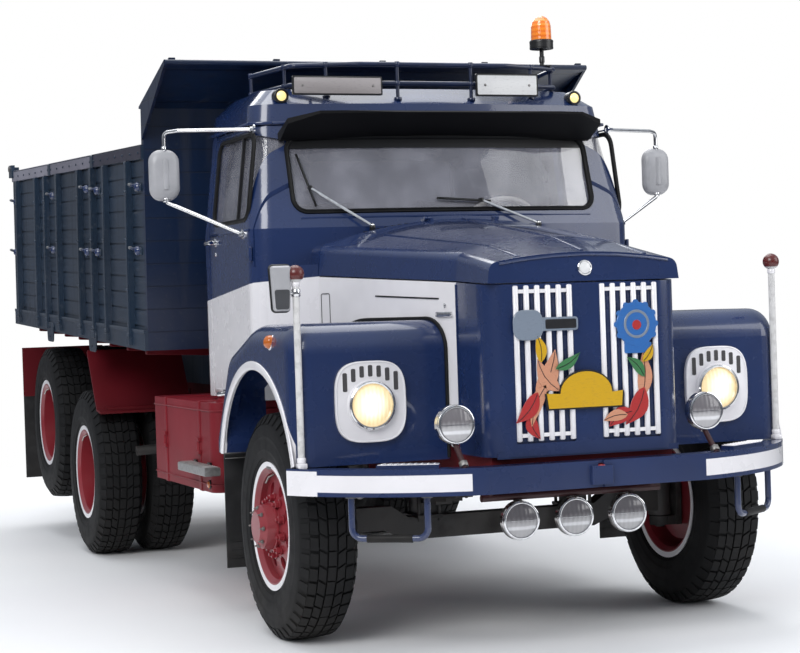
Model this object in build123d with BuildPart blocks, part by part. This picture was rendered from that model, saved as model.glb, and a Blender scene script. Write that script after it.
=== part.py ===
# Bonneted three-axle tipper truck, millimetres, +X to its left, +Y to its rear, +Z up
from build123d import *
from math import asin, cos, radians, sin
import os

os.makedirs("parts", exist_ok=True)

# Whole truck: heights from the ground, lengths from the front axle
TRUCK_FRONT = -1130.0
TRUCK_REAR = 6183.6
FRONT_AXLE_Y = -(TRUCK_FRONT + TRUCK_REAR) / 2
WHEELBASE = 3800.0
BOGIE_SPACING = 1250.0
HUB_Z = 520.0
TAG_LIFT = 260.0
PIN_GAP = 0.4
PANEL = 15.0

# Frame rails
RAIL_OUT = 430.0
RAIL_IN = 350.0
RAIL_LOW = 740.0
RAIL_TOP = 960.0
RAIL_WALL = 12.0
RAIL_FRONT = -940.0
RAIL_REAR = 6000.0
SUBFRAME_TOP = 1050.0

# Wheels
TYRE_R = 520.0
TYRE_HALF = 140.0
BEAD_R = 258.0
RIM_R = 294.0
FRONT_TRACK_HALF = 1010.0
TWIN_OUT = 1080.0
TWIN_IN = 750.0
KINGPIN_X = 860.0
KINGPIN_R = 22.0
SPINDLE_R = 45.0

# Bonnet, nose and front wings
NOSE_FRONT = -1010.0
NOSE_SEAM = -680.0
NOSE_HALF = 462.0
NOSE_LOW = 850.0
LID_REAR = 350.0
LID_REAR_HALF = 750.0
SEAM_FRONT_Z = 1580.0
SEAM_REAR_Z = 1657.0
LID_GAP = 6.0
FENDER_OUT = 1200.0

# Cab
CAB_HALF = 1020.0
CAB_TOP_HALF = 958.0
CAB_FRONT = 430.0
CAB_TOP_FRONT = 590.0
CAB_BOW = 90.0
CAB_BACK = 1490.0
CAB_LOW = 1070.0
BELT_Z = 1900.0
GUTTER_Z = 2420.0
ROOF_Z = 2605.0
CAB_WALL = 45.0
CAB_CORNER = 110.0
DOOR_FRONT = 560.0
DOOR_REAR = 1310.0
DOOR_GAP = 8.0
WINDOW_LOW = 1955.0
WINDOW_TOP = 2365.0

# Tipping body, drawn level and laid on a floor line that rises to the rear
BODY_FRONT = 1980.0
BODY_LOW = 1305.0
BODY_RISE = asin(0.0403)
BODY_LENGTH = 4140.0
BODY_HALF = 1205.0
SIDE_HEIGHT = 1125.0
HEAD_HEIGHT = 1325.0
PIVOT_Y = 5850.0
PIVOT_Z = 1120.0
PIVOT_R = 30.0

BODY_PLANE = Plane(
    origin=(0, FRONT_AXLE_Y + BODY_FRONT, BODY_LOW),
    x_dir=(0, cos(BODY_RISE), sin(BODY_RISE)),
    z_dir=(1, 0, 0),
)


def at(x, y, z):
    """Point given from the front axle, in the truck's own frame."""
    return Vector(x, FRONT_AXLE_Y + y, z)


def body_point(along, up):
    """Side view place (y, z), from the front axle, of a point in the tipping body's lines."""
    y = BODY_FRONT + along * cos(BODY_RISE) - up * sin(BODY_RISE)
    z = BODY_LOW + along * sin(BODY_RISE) + up * cos(BODY_RISE)
    return (y, z)


def rounded_face(plane, corners):
    """Face with straight sides; each corner is (a, b) or (a, b, radius)."""
    with BuildSketch(plane) as outline:
        with BuildLine():
            Polyline(*[corner[:2] for corner in corners], close=True)
        make_face()
        for corner in corners:
            if len(corner) == 3:
                near = outline.vertices().sort_by_distance((corner[0], corner[1], 0))
                fillet(near[0], radius=corner[2])
    return outline.sketch


def side_prism(corners, x0, x1, mode=Mode.ADD):
    """Outline of (y, z) corners, as seen from the side, between two x planes."""
    plane = Plane(origin=at(x0, 0, 0), x_dir=(0, 1, 0), z_dir=(1, 0, 0))
    extrude(rounded_face(plane, corners), amount=x1 - x0, mode=mode)


def end_prism(corners, y0, y1, mode=Mode.ADD):
    """Outline of (x, z) corners, as seen from the front, between two y planes."""
    plane = Plane(origin=at(0, y1, 0), x_dir=(1, 0, 0), z_dir=(0, -1, 0))
    extrude(rounded_face(plane, corners), amount=y1 - y0, mode=mode)


def plan_prism(corners, z0, z1, mode=Mode.ADD):
    """Outline of (x, y) corners, as seen from above, between two heights."""
    plane = Plane(origin=at(0, 0, z0), x_dir=(1, 0, 0), z_dir=(0, 0, 1))
    extrude(rounded_face(plane, corners), amount=z1 - z0, mode=mode)


def body_prism(corners, x0, x1, mode=Mode.ADD):
    """Outline of (along, up) corners in the tipping body's own lines."""
    plane = BODY_PLANE.offset(x0)
    extrude(rounded_face(plane, corners), amount=x1 - x0, mode=mode)


def rectangle(a0, a1, b0, b1, radius=0):
    """Four corners of a rectangle, all with one radius."""
    corners = [(a0, b0), (a1, b0), (a1, b1), (a0, b1)]
    if radius:
        corners = [(a, b, radius) for a, b in corners]
    return corners


def block(xs, ys, zs, mode=Mode.ADD):
    """Plain block between two corners."""
    side_prism(rectangle(ys[0], ys[1], zs[0], zs[1]), xs[0], xs[1], mode)


def body_block(xs, us, vs, mode=Mode.ADD):
    """Plain block in the tipping body's own lines."""
    body_prism(rectangle(us[0], us[1], vs[0], vs[1]), xs[0], xs[1], mode)


def rod(start, end, radius, mode=Mode.ADD):
    """Round bar between two points."""
    first = at(*start)
    run = at(*end) - first
    with BuildSketch(Plane(origin=first, z_dir=run)) as section:
        Circle(radius)
    extrude(section.sketch, amount=run.length, mode=mode)


def pipe(points, radius, bend):
    """Round bar through points, its corners bent to one radius."""
    with BuildLine() as path:
        FilletPolyline(*[at(*point) for point in points], radius=bend)
    with BuildSketch(Plane(origin=path.line @ 0, z_dir=path.line % 0)) as section:
        Circle(radius)
    sweep(section.sketch, path=path.line)


def turned(centre, profile, mode=Mode.ADD):
    """Solid turned about a line along X; profile is (x from the centre, radius)."""
    plane = Plane(origin=at(*centre), x_dir=(1, 0, 0), z_dir=(0, -1, 0))
    with BuildSketch(plane) as section:
        with BuildLine():
            Polyline(*profile, close=True)
        make_face()
    axis = Axis(at(*centre), (1, 0, 0))
    revolve(section.sketch, axis=axis, mode=mode)


def hand_in(builder, label):
    """Name a finished piece and write it to its own file."""
    builder.part.label = label
    export_step(builder.part, "parts/" + label + ".step")


# Axle stations
TAG_Y = WHEELBASE + BOGIE_SPACING
TAG_Z = HUB_Z + TAG_LIFT

# Leaf springs: each pack has leaves that shorten downwards under one bow
LEAF = 16.0
SPRING_PACKS = (
    # middle y, low z, end z, half length, inner x, outer x, leaves
    (0.0, 586.0, 690.0, 650.0, RAIL_IN, RAIL_OUT, 4),
    (WHEELBASE, 600.0, 770.0, 650.0, 455.0, 535.0, 5),
    (TAG_Y, 680.0, 714.0, 350.0, RAIL_IN, RAIL_OUT, 2),
)


def leaf_pack(middle, low, end, half_length, inner, outer, leaves):
    """Stack of bowed leaves with an eye at each end of the top one."""
    stack = leaves * LEAF
    bow = (end - low - stack) / half_length ** 2
    for number in range(leaves):
        reach = half_length * (1 - 0.19 * number)
        top = low + stack - number * LEAF
        rise = bow * reach ** 2
        plane = Plane(origin=at(inner, middle, 0), x_dir=(0, 1, 0), z_dir=(1, 0, 0))
        with BuildSketch(plane) as leaf:
            with BuildLine():
                ThreePointArc((-reach, top + rise), (0, top), (reach, top + rise))
                Line((reach, top + rise), (reach, top + rise - LEAF))
                ThreePointArc((reach, top + rise - LEAF), (0, top - LEAF), (-reach, top + rise - LEAF))
                Line((-reach, top + rise - LEAF), (-reach, top + rise))
            make_face()
        extrude(leaf.sketch, amount=outer - inner)
    eye = 28 if leaves > 2 else 24
    for direction in (-1, 1):
        y = middle + direction * half_length
        rod((inner, y, end), (outer, y, end), eye)


with BuildPart() as leaf_springs:
    for pack in SPRING_PACKS:
        leaf_pack(*pack)
    mirror(about=Plane.YZ)
hand_in(leaf_springs, "leaf_springs")

# Frame rails, subframe and brackets
CAB_MOUNTS = (620.0, 1400.0)
CYLINDER_FOOT = (2950.0, 840.0)
with BuildPart() as chassis_frame:
    rail = [
        (RAIL_OUT, RAIL_LOW),
        (RAIL_OUT, RAIL_TOP),
        (RAIL_IN, RAIL_TOP),
        (RAIL_IN, RAIL_TOP - RAIL_WALL),
        (RAIL_OUT - RAIL_WALL, RAIL_TOP - RAIL_WALL),
        (RAIL_OUT - RAIL_WALL, RAIL_LOW + RAIL_WALL),
        (RAIL_IN, RAIL_LOW + RAIL_WALL),
        (RAIL_IN, RAIL_LOW),
    ]
    end_prism(rail, RAIL_FRONT, RAIL_REAR)
    block((RAIL_IN, RAIL_OUT), (1900, 5950), (RAIL_TOP, SUBFRAME_TOP))
    for y in CAB_MOUNTS:
        block((RAIL_IN, RAIL_OUT), (y - 50, y + 50), (RAIL_TOP, CAB_LOW))
    for y in (-650.0, 650.0):
        block((RAIL_IN, RAIL_OUT), (y - 45, y + 45), (690, RAIL_LOW))
    for y, z in ((3150.0, 770.0), (4450.0, 770.0)):
        block((RAIL_OUT, 535), (y - 50, y + 50), (z, RAIL_TOP - 60))
    for y in (4700.0, 5400.0):
        block((RAIL_IN, RAIL_OUT), (y - 40, y + 40), (714, RAIL_LOW))
    block((RAIL_OUT, NOSE_HALF - PANEL), (-860, -760), (865, 945))
    block((RAIL_IN - 30, RAIL_IN), (PIVOT_Y - 90, PIVOT_Y + 90), (SUBFRAME_TOP - 90, PIVOT_Z + 60))
    mirror(about=Plane.YZ)
    rod((-360, PIVOT_Y, PIVOT_Z), (360, PIVOT_Y, PIVOT_Z), PIVOT_R + PIN_GAP, Mode.SUBTRACT)
    add(leaf_springs.part, mode=Mode.SUBTRACT)
hand_in(chassis_frame, "chassis_frame")

# Cross members with the tipping cylinder's foot and the towing jaw, and the hinge shaft
CROSS_MEMBERS = (-900.0, 2800.0, 4450.0, 5300.0, 5910.0)
WEB_HALF = 40.0
TOW_PIN_R = 20.0
with BuildPart() as cross_members:
    for y in CROSS_MEMBERS:
        web = rectangle(y - WEB_HALF, y + WEB_HALF, 780, 920)
        side_prism(web, -RAIL_OUT + RAIL_WALL, RAIL_OUT - RAIL_WALL)
    rod((-520, PIVOT_Y, PIVOT_Z), (520, PIVOT_Y, PIVOT_Z), PIVOT_R)
    for side in (-1, 1):
        block((side * 92 - 15, side * 92 + 15), (2840, 3010), (780, 900))
    rod((-107, *CYLINDER_FOOT), (107, *CYLINDER_FOOT), 25)
    block((-70, 70), (CROSS_MEMBERS[-1] + WEB_HALF, 6080), (800, 900))
    rod((0, 6030, 790), (0, 6030, 910), TOW_PIN_R, Mode.SUBTRACT)
hand_in(cross_members, "cross_members")

# Front axle beam with its kingpin eyes
with BuildPart() as front_axle:
    half = [(0, 520), (480, 520), (560, 575), (KINGPIN_X - 10, 575), (KINGPIN_X - 10, 465), (600, 465),
            (480, 415), (0, 415)]
    end_prism(half, -45, 45)
    rod((KINGPIN_X, 0, 440), (KINGPIN_X, 0, 600), 55)
    rod((KINGPIN_X, 0, 430), (KINGPIN_X, 0, 610), KINGPIN_R + PIN_GAP, Mode.SUBTRACT)
    block((RAIL_IN, RAIL_OUT), (-70, 70), (520, 586))
    mirror(about=Plane.YZ)
hand_in(front_axle, "front_axle")

# Engine and gearbox as one plain block, and the radiator
with BuildPart() as engine_block:
    sump = [(-180, 640, 40), (180, 640, 40), (290, 860, 60), (290, 1240), (200, 1420, 60), (-200, 1420, 60),
            (-290, 1240), (-290, 860, 60)]
    end_prism(sump, -620, 400)
    end_prism([(-170, 680, 60), (170, 680, 60), (170, 960, 60), (-170, 960, 60)], 400, 980)
    block((-RAIL_OUT + RAIL_WALL, RAIL_OUT - RAIL_WALL), (-60, 60), (800, 880))
hand_in(engine_block, "engine_block")

with BuildPart() as radiator:
    block((-345, 345), (-940, -860), (920, 1540))
hand_in(radiator, "radiator")

# Drive axle with final drive and propeller shaft, and the lifted tag axle with a cranked beam
with BuildPart() as drive_axle:
    rod((0, WHEELBASE, HUB_Z), (600, WHEELBASE, HUB_Z), 68)
    rod((600, WHEELBASE, HUB_Z), (622, WHEELBASE, HUB_Z), 190)
    rod((622, WHEELBASE, HUB_Z), (900, WHEELBASE, HUB_Z), SPINDLE_R)
    block((455, 535), (WHEELBASE - 70, WHEELBASE + 70), (HUB_Z + 40, 600))
    mirror(about=Plane.YZ)
    turned((0, WHEELBASE, HUB_Z), [(-160, 0), (-130, 130), (-50, 190), (50, 190), (130, 130), (160, 0)])
    rod((0, WHEELBASE - 300, HUB_Z + 20), (0, WHEELBASE, HUB_Z + 20), 80)
    rod((0, 975, 800), (0, WHEELBASE - 250, HUB_Z + 20), 45)
    add(engine_block.part, mode=Mode.SUBTRACT)
hand_in(drive_axle, "drive_axle")

with BuildPart() as tag_axle:
    half = [(0, 680), (470, 680), (560, TAG_Z + 50), (600, TAG_Z + 50), (600, TAG_Z - 50), (575, TAG_Z - 50),
            (490, 580), (0, 580)]
    end_prism(half, TAG_Y - 50, TAG_Y + 50)
    rod((600, TAG_Y, TAG_Z), (622, TAG_Y, TAG_Z), 190)
    rod((622, TAG_Y, TAG_Z), (900, TAG_Y, TAG_Z), SPINDLE_R)
    mirror(about=Plane.YZ)
hand_in(tag_axle, "tag_axle")

# Front bumper: a swept channel with step pads, step loops and a towing jaw
BUMPER_LOW = 709.0
BUMPER_TOP = 823.0
BUMPER_LIP = 90.0
BUMPER_SKIN = 12.0


def bumper_band(depth):
    """Plan band of the bumper: straight middle, ends swept back to the wings."""
    plane = Plane(origin=at(0, 0, BUMPER_LOW), x_dir=(1, 0, 0), z_dir=(0, 0, 1))
    with BuildSketch(plane) as band:
        with BuildLine():
            Line((-520, -1110), (520, -1110))
            ThreePointArc((520, -1110), (910, -925), (1225, -560))
            Line((1225, -560), (1225 - 0.85 * depth, -560 + 0.55 * depth))
            ThreePointArc(
                (1225 - 0.85 * depth, -560 + 0.55 * depth),
                (910 - 0.6 * depth, -925 + 0.8 * depth),
                (520 - 0.25 * depth, -1110 + depth),
            )
            Line((520 - 0.25 * depth, -1110 + depth), (-520 + 0.25 * depth, -1110 + depth))
            ThreePointArc(
                (-520 + 0.25 * depth, -1110 + depth),
                (-910 + 0.6 * depth, -925 + 0.8 * depth),
                (-1225 + 0.85 * depth, -560 + 0.55 * depth),
            )
            Line((-1225 + 0.85 * depth, -560 + 0.55 * depth), (-1225, -560))
            ThreePointArc((-1225, -560), (-910, -925), (-520, -1110))
        make_face()
    return band.sketch


with BuildPart() as bumper:
    extrude(bumper_band(BUMPER_SKIN), amount=BUMPER_TOP - BUMPER_LOW)
    extrude(bumper_band(BUMPER_LIP), amount=BUMPER_SKIN)
    top_lip = bumper_band(BUMPER_LIP).moved(Location((0, 0, BUMPER_TOP - BUMPER_LOW - BUMPER_SKIN)))
    extrude(top_lip, amount=BUMPER_SKIN)
    for side in (-1, 1):
        xs = sorted((side * RAIL_IN, side * RAIL_OUT))
        block(xs, (-1098, RAIL_FRONT), (BUMPER_LOW + BUMPER_SKIN, 810))
        pad = [(side * 700, -1010), (side * 930, -875), (side * 880, -815), (side * 670, -950)]
        plan_prism(pad, BUMPER_TOP, BUMPER_TOP + 16)
    plan_prism(rectangle(-50, 50, TRUCK_FRONT, -1098, 8), 722, 802)
    for low, top in ((BUMPER_LOW - 5, 722), (802, BUMPER_TOP + 5)):
        block((-14, 14), (TRUCK_FRONT, -1098), (low, top), Mode.SUBTRACT)
    rod((0, -1113, 715), (0, -1113, 810), 9, Mode.SUBTRACT)
    for side in (-1, 1):
        loop = [(side * 740, -965, 715), (side * 740, -965, 530), (side * 1010, -775, 530),
                (side * 1010, -775, 715)]
        pipe(loop, 14, 45)
hand_in(bumper, "bumper")

# Marker poles on the bumper's ends
POLE = (1168.0, -600.0)
with BuildPart() as marker_poles:
    for side in (-1, 1):
        rod((side * POLE[0], POLE[1], BUMPER_TOP), (side * POLE[0], POLE[1], 1640), 15)
        with Locations(at(side * POLE[0], POLE[1], 1656)):
            Sphere(38)
hand_in(marker_poles, "marker_poles")

# Extra lamps: two on the bumper and three on a bar below it
with BuildPart() as front_lamps:
    for side in (-1, 1):
        lamp = [(0, 0), (78, 0), (84, 10), (84, 40), (62, 75), (30, 95), (0, 95)]
        plane = Plane(origin=at(side * 596, -962, 998), x_dir=(1, 0, 0), z_dir=(0, 0, 1))
        with BuildSketch(plane) as section:
            with BuildLine():
                Polyline(*lamp, close=True)
            make_face()
        revolve(section.sketch, axis=Axis(at(side * 596, -962, 998), (0, 1, 0)))
        rod((side * 596, -925, 930), (side * 596, -1045, BUMPER_TOP - 6), 12)
    for x in (-260.0, 0.0, 260.0):
        plane = Plane(origin=at(x, -846, 561), x_dir=(1, 0, 0), z_dir=(0, 0, 1))
        with BuildSketch(plane) as section:
            with BuildLine():
                Polyline((0, 0), (80, 0), (86, 10), (86, 35), (60, 75), (0, 90), close=True)
            make_face()
        revolve(section.sketch, axis=Axis(at(x, -846, 561), (0, 1, 0)))
        rod((x, -810, 600), (x, -810, 664), 12)
    rod((-RAIL_OUT, -810, 664), (RAIL_OUT, -810, 664), 16)
    for side in (-1, 1):
        rod((side * 390, -810, 664), (side * 390, -810, RAIL_LOW), 14)
    add(bumper.part, mode=Mode.SUBTRACT)
hand_in(front_lamps, "front_lamps")

# Nose and bonnet sides share one plan: narrow at the grille, wide at the cab
FLARE = (LID_REAR_HALF - NOSE_HALF) / (LID_REAR - NOSE_SEAM)
SEAM_SLOPE = (SEAM_REAR_Z - SEAM_FRONT_Z) / (LID_REAR - NOSE_FRONT)
GRILLE_IN = 66.0
GRILLE_OUT = 341.0
GRILLE_LOW = 904.0


def seam_z(y):
    """Height of the joint between lid and sides."""
    return SEAM_FRONT_Z + SEAM_SLOPE * (y - NOSE_FRONT)


with BuildPart() as nose_shell:
    outer = [(-NOSE_HALF, NOSE_SEAM), (-NOSE_HALF, NOSE_FRONT, 110), (NOSE_HALF, NOSE_FRONT, 110),
             (NOSE_HALF, NOSE_SEAM)]
    inset = NOSE_HALF - PANEL
    inner = [(-inset, NOSE_SEAM), (-inset, NOSE_FRONT + PANEL, 95), (inset, NOSE_FRONT + PANEL, 95),
             (inset, NOSE_SEAM)]
    plan_prism(outer, NOSE_LOW, SEAM_REAR_Z)
    plan_prism(inner, NOSE_LOW, SEAM_REAR_Z, Mode.SUBTRACT)
    for side in (-1, 1):
        xs = sorted((side * GRILLE_IN, side * GRILLE_OUT))
        block(xs, (NOSE_FRONT - 5, NOSE_FRONT + PANEL + 5), (GRILLE_LOW, SEAM_FRONT_Z - 20), Mode.SUBTRACT)
    above = [(NOSE_FRONT - 20, seam_z(NOSE_FRONT - 20)), (NOSE_SEAM + 20, seam_z(NOSE_SEAM + 20)),
             (NOSE_SEAM + 20, 1800), (NOSE_FRONT - 20, 1800)]
    side_prism(above, -NOSE_HALF - 10, NOSE_HALF + 10, Mode.SUBTRACT)
hand_in(nose_shell, "nose_shell")

HOOD_SIDE_LOW = 1000.0
with BuildPart() as hood_sides:
    wall = [(NOSE_HALF, NOSE_SEAM), (LID_REAR_HALF, LID_REAR), (LID_REAR_HALF - PANEL, LID_REAR),
            (NOSE_HALF - PANEL, NOSE_SEAM)]
    plan_prism(wall, HOOD_SIDE_LOW, SEAM_REAR_Z)
    above = [(NOSE_SEAM - 20, seam_z(NOSE_SEAM - 20)), (LID_REAR + 20, seam_z(LID_REAR + 20)),
             (LID_REAR + 20, 1900), (NOSE_SEAM - 20, 1900)]
    side_prism(above, 0, CAB_HALF, Mode.SUBTRACT)
    mirror(about=Plane.YZ)
hand_in(hood_sides, "hood_sides")

# Grille panels: a frame with six upright slats each
SLATS = 6
SLAT_WIDTH = 24.0
FRAME_BAR = 14.0
with BuildPart() as grille_panels:
    panel_top = SEAM_FRONT_Z - 20
    for side in (-1, 1):
        xs = sorted((side * GRILLE_IN, side * GRILLE_OUT))
        block(xs, (NOSE_FRONT - 3, NOSE_FRONT + 12), (GRILLE_LOW, panel_top))
        inside = (xs[0] + FRAME_BAR, xs[1] - FRAME_BAR)
        block(inside, (NOSE_FRONT - 10, NOSE_FRONT + 20), (GRILLE_LOW + FRAME_BAR, panel_top - FRAME_BAR),
              Mode.SUBTRACT)
        pitch = (xs[1] - xs[0]) / SLATS
        for number in range(SLATS):
            middle = xs[0] + pitch * (number + 0.5)
            slat = rectangle(middle - SLAT_WIDTH / 2, middle + SLAT_WIDTH / 2, NOSE_FRONT - 8, NOSE_FRONT + 14, 5)
            plan_prism(slat, GRILLE_LOW + 2, panel_top - 2)
hand_in(grille_panels, "grille_panels")

# Headlamps: a bezel with a row of air slits over a round lens
HEADLAMP = (850.0, -600.0, 1096.0)
with BuildPart() as headlamps:
    for side in (-1, 1):
        x, y, z = side * HEADLAMP[0], HEADLAMP[1], HEADLAMP[2]
        end_prism(rectangle(x - 162, x + 162, z - 176, z + 176, 90), y - 22, y)
        rod((x, y - 40, z - 40), (x, y, z - 40), 118)
        rod((x, y - 45, z - 40), (x, y - 20, z - 40), 100, Mode.SUBTRACT)
        rod((x, y - 36, z - 40), (x, y - 20, z - 40), 92)
        for number in range(7):
            middle = x + (number - 3) * 32
            block((middle - 9, middle + 9), (y - 30, y + 5), (z + 92, z + 146), Mode.SUBTRACT)
hand_in(headlamps, "headlamps")


# Cab skin: one outline at the sills, one at the gutter, and a domed roof
def cab_outline(level, half_width, front, inset):
    """Plan outline of the cab at one height, bowed in front."""
    wide = half_width - inset
    back = CAB_BACK - inset
    side_front = front + CAB_BOW + inset
    plane = Plane(origin=at(0, 0, level), x_dir=(1, 0, 0), z_dir=(0, 0, 1))
    with BuildSketch(plane) as outline:
        with BuildLine():
            ThreePointArc((-wide, side_front), (0, front + inset), (wide, side_front))
            Polyline((wide, side_front), (wide, back), (-wide, back), (-wide, side_front))
        make_face()
        fillet(outline.vertices(), radius=CAB_CORNER - inset)
    return outline.sketch


def cab_form(inset, mode=Mode.ADD):
    """The cab's whole form, drawn in from its outer skin by inset."""
    low = CAB_LOW + inset
    extrude(cab_outline(low, CAB_HALF, CAB_FRONT, inset), amount=BELT_Z - low, mode=mode)
    belt = cab_outline(BELT_Z, CAB_HALF, CAB_FRONT, inset).face()
    gutter = cab_outline(GUTTER_Z, CAB_TOP_HALF, CAB_TOP_FRONT, inset).face()
    loft([belt, gutter], mode=mode)
    crown = cab_outline(GUTTER_Z + 100, CAB_TOP_HALF - 14, CAB_TOP_FRONT + 20, inset).face()
    loft([gutter, crown], mode=mode)
    cap = cab_outline(ROOF_Z - inset, CAB_TOP_HALF - 110, CAB_TOP_FRONT + 130, inset).face()
    loft([crown, cap], mode=mode)


# Outer form less the room inside it, to be cut into the real panels
with BuildPart() as cab_solid:
    cab_form(0)
with BuildPart() as cab_room:
    cab_form(CAB_WALL)
with BuildPart() as cab_shell:
    add(cab_solid.part)
    add(cab_room.part, mode=Mode.SUBTRACT)

# Lid stations, shared by the cowl's collar, and the hinge line of the lid
LID_HINGE = (347.0, 1929.0)
LID_SECTIONS = (
    # y, half width, seam z, shoulder z, crown z
    (NOSE_FRONT, NOSE_HALF - 8, seam_z(NOSE_FRONT) + LID_GAP, 1672.0, 1712.0),
    (NOSE_SEAM, NOSE_HALF, seam_z(NOSE_SEAM) + LID_GAP, 1722.0, 1792.0),
    (LID_REAR - LID_GAP, LID_REAR_HALF, seam_z(LID_REAR) + LID_GAP, 1800.0, 1925.0),
)


def lid_section(y, half, seam, shoulder, crown, inset):
    """End outline of the lid at one station."""
    wide = half - inset
    low = seam - (inset and 30)
    plane = Plane(origin=at(0, y, 0), x_dir=(1, 0, 0), z_dir=(0, -1, 0))
    with BuildSketch(plane) as section:
        with BuildLine():
            Polyline((-wide + 12, shoulder - inset), (-wide, low), (wide, low), (wide - 12, shoulder - inset))
            ThreePointArc((wide - 12, shoulder - inset), (0, crown - inset), (-wide + 12, shoulder - inset))
        make_face()
        corners = section.vertices().sort_by(Axis.Y)[-2:]
        fillet(corners, radius=45)
    return section.sketch.face()



# Windscreen, rear window and door windows
SCREEN = rectangle(-800, 800, 1985, 2345, 60)
REAR_WINDOW = rectangle(-420, 420, 1990, 2300, 60)
DOOR_WINDOW = rectangle(620, 1240, WINDOW_LOW, WINDOW_TOP, 60)
with BuildPart() as cowl:
    low_plan = [(-LID_REAR_HALF, LID_REAR), (LID_REAR_HALF, LID_REAR), (CAB_HALF - 3, 560), (-CAB_HALF + 3, 560)]
    plan_prism(low_plan, CAB_LOW, SEAM_REAR_Z + 60)
    extrude(lid_section(LID_REAR + 200, *LID_SECTIONS[2][1:], 0), amount=200)
    inside = [(-LID_REAR_HALF + 40, LID_REAR - 5), (LID_REAR_HALF - 40, LID_REAR - 5), (700, 600), (-700, 600)]
    plan_prism(inside, CAB_LOW - 5, SEAM_REAR_Z + 45, Mode.SUBTRACT)
    extrude(lid_section(LID_REAR + 205, *LID_SECTIONS[2][1:], PANEL), amount=220, mode=Mode.SUBTRACT)
    for side in (-1, 1):
        block(sorted((side * 182, side * 198)), (LID_HINGE[0], 390), (1905, LID_HINGE[1]))
        rod((side * 182, *LID_HINGE), (side * 198, *LID_HINGE), 9)
        rod((side * 160, *LID_HINGE), (side * 198, *LID_HINGE), 5)
with BuildPart() as cab_front:
    add(cab_shell.part)
    block((-1100, 1100), (0, DOOR_FRONT - DOOR_GAP), (CAB_LOW, GUTTER_Z), Mode.INTERSECT)
    end_prism(SCREEN, 200, 800, Mode.SUBTRACT)
    add(cowl.part.cut(cab_solid.part))
hand_in(cab_front, "cab_front")

# Front wings: pressed shells with a wheel arch, trimmed to the bonnet sides
ARCH_R = 575.0
ARCH_Y = -8.0
ARCH_Z = 665.0
WING_LOW = 826.0
with BuildPart() as fenders:
    shape = [(-600, WING_LOW), (-600, 1440, 130), (40, 1440, 500), (440, 1310, 150), (545, 1140), (552, 1060),
             (606, 1000, 30), (606, WING_LOW)]
    side_prism(shape, 440, FENDER_OUT)
    outer_face = fenders.faces().sort_by(Axis.X)[-1]
    rim_edges = outer_face.edges().filter_by(lambda edge: edge.center().Z > 1140)
    fillet(rim_edges, radius=95)
    hollow = [(-600 + PANEL, WING_LOW - 10), (-600 + PANEL, 1440 - PANEL, 115), (40, 1440 - PANEL, 485),
              (432, 1298, 140), (530, 1130), (530, WING_LOW - 10)]
    side_prism(hollow, 400, FENDER_OUT - PANEL - 60, Mode.SUBTRACT)
    deep = [(-500, WING_LOW - 10), (-500, 1330, 100), (40, 1330, 400), (380, 1220, 120), (530, 1000),
            (530, WING_LOW - 10)]
    side_prism(deep, FENDER_OUT - PANEL - 61, FENDER_OUT - PANEL, Mode.SUBTRACT)
    rod((440, ARCH_Y, ARCH_Z), (FENDER_OUT + 10, ARCH_Y, ARCH_Z), ARCH_R, Mode.SUBTRACT)
    bonnet = [(0, NOSE_FRONT), (NOSE_HALF, NOSE_FRONT), (NOSE_HALF, NOSE_SEAM), (LID_REAR_HALF, LID_REAR),
              (CAB_HALF - 3, 560), (CAB_HALF + 8, 562), (CAB_HALF + 8, 900), (0, 900)]
    plan_prism(bonnet, 700, 1500, Mode.SUBTRACT)
    mirror(about=Plane.YZ)
    add(cab_front.part, mode=Mode.SUBTRACT)
hand_in(fenders, "fenders")

# The cab's other fixed panels
with BuildPart() as cab_back:
    add(cab_shell.part)
    block((-1100, 1100), (DOOR_REAR + DOOR_GAP, 1600), (CAB_LOW, GUTTER_Z), Mode.INTERSECT)
    end_prism(REAR_WINDOW, 1300, 1600, Mode.SUBTRACT)
hand_in(cab_back, "cab_back")

with BuildPart() as cab_roof:
    add(cab_shell.part)
    block((-1100, 1100), (0, 1600), (GUTTER_Z, 2700), Mode.INTERSECT)
hand_in(cab_roof, "cab_roof")

with BuildPart() as cab_floor:
    add(cab_shell.part)
    block((-1100, 1100), (DOOR_FRONT - DOOR_GAP, DOOR_REAR + DOOR_GAP), (CAB_LOW, CAB_LOW + CAB_WALL),
          Mode.INTERSECT)
    block((-CAB_HALF + CAB_WALL + 10, CAB_HALF - CAB_WALL - 10), (0, 1600), (0, 3000), Mode.INTERSECT)
hand_in(cab_floor, "cab_floor")

GLASS_IN = 18.0
GLASS_OUT = 12.0


with BuildPart() as glass_skin:
    cab_form(GLASS_OUT)
    cab_form(GLASS_IN, Mode.SUBTRACT)

with BuildPart() as windscreen:
    add(glass_skin.part)
    end_prism(SCREEN, 200, 800, Mode.INTERSECT)
with BuildPart() as cab_glass:
    add(glass_skin.part)
    end_prism(REAR_WINDOW, 1300, 1600, Mode.INTERSECT)
    add(windscreen.part)
hand_in(cab_glass, "cab_glass")

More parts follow.
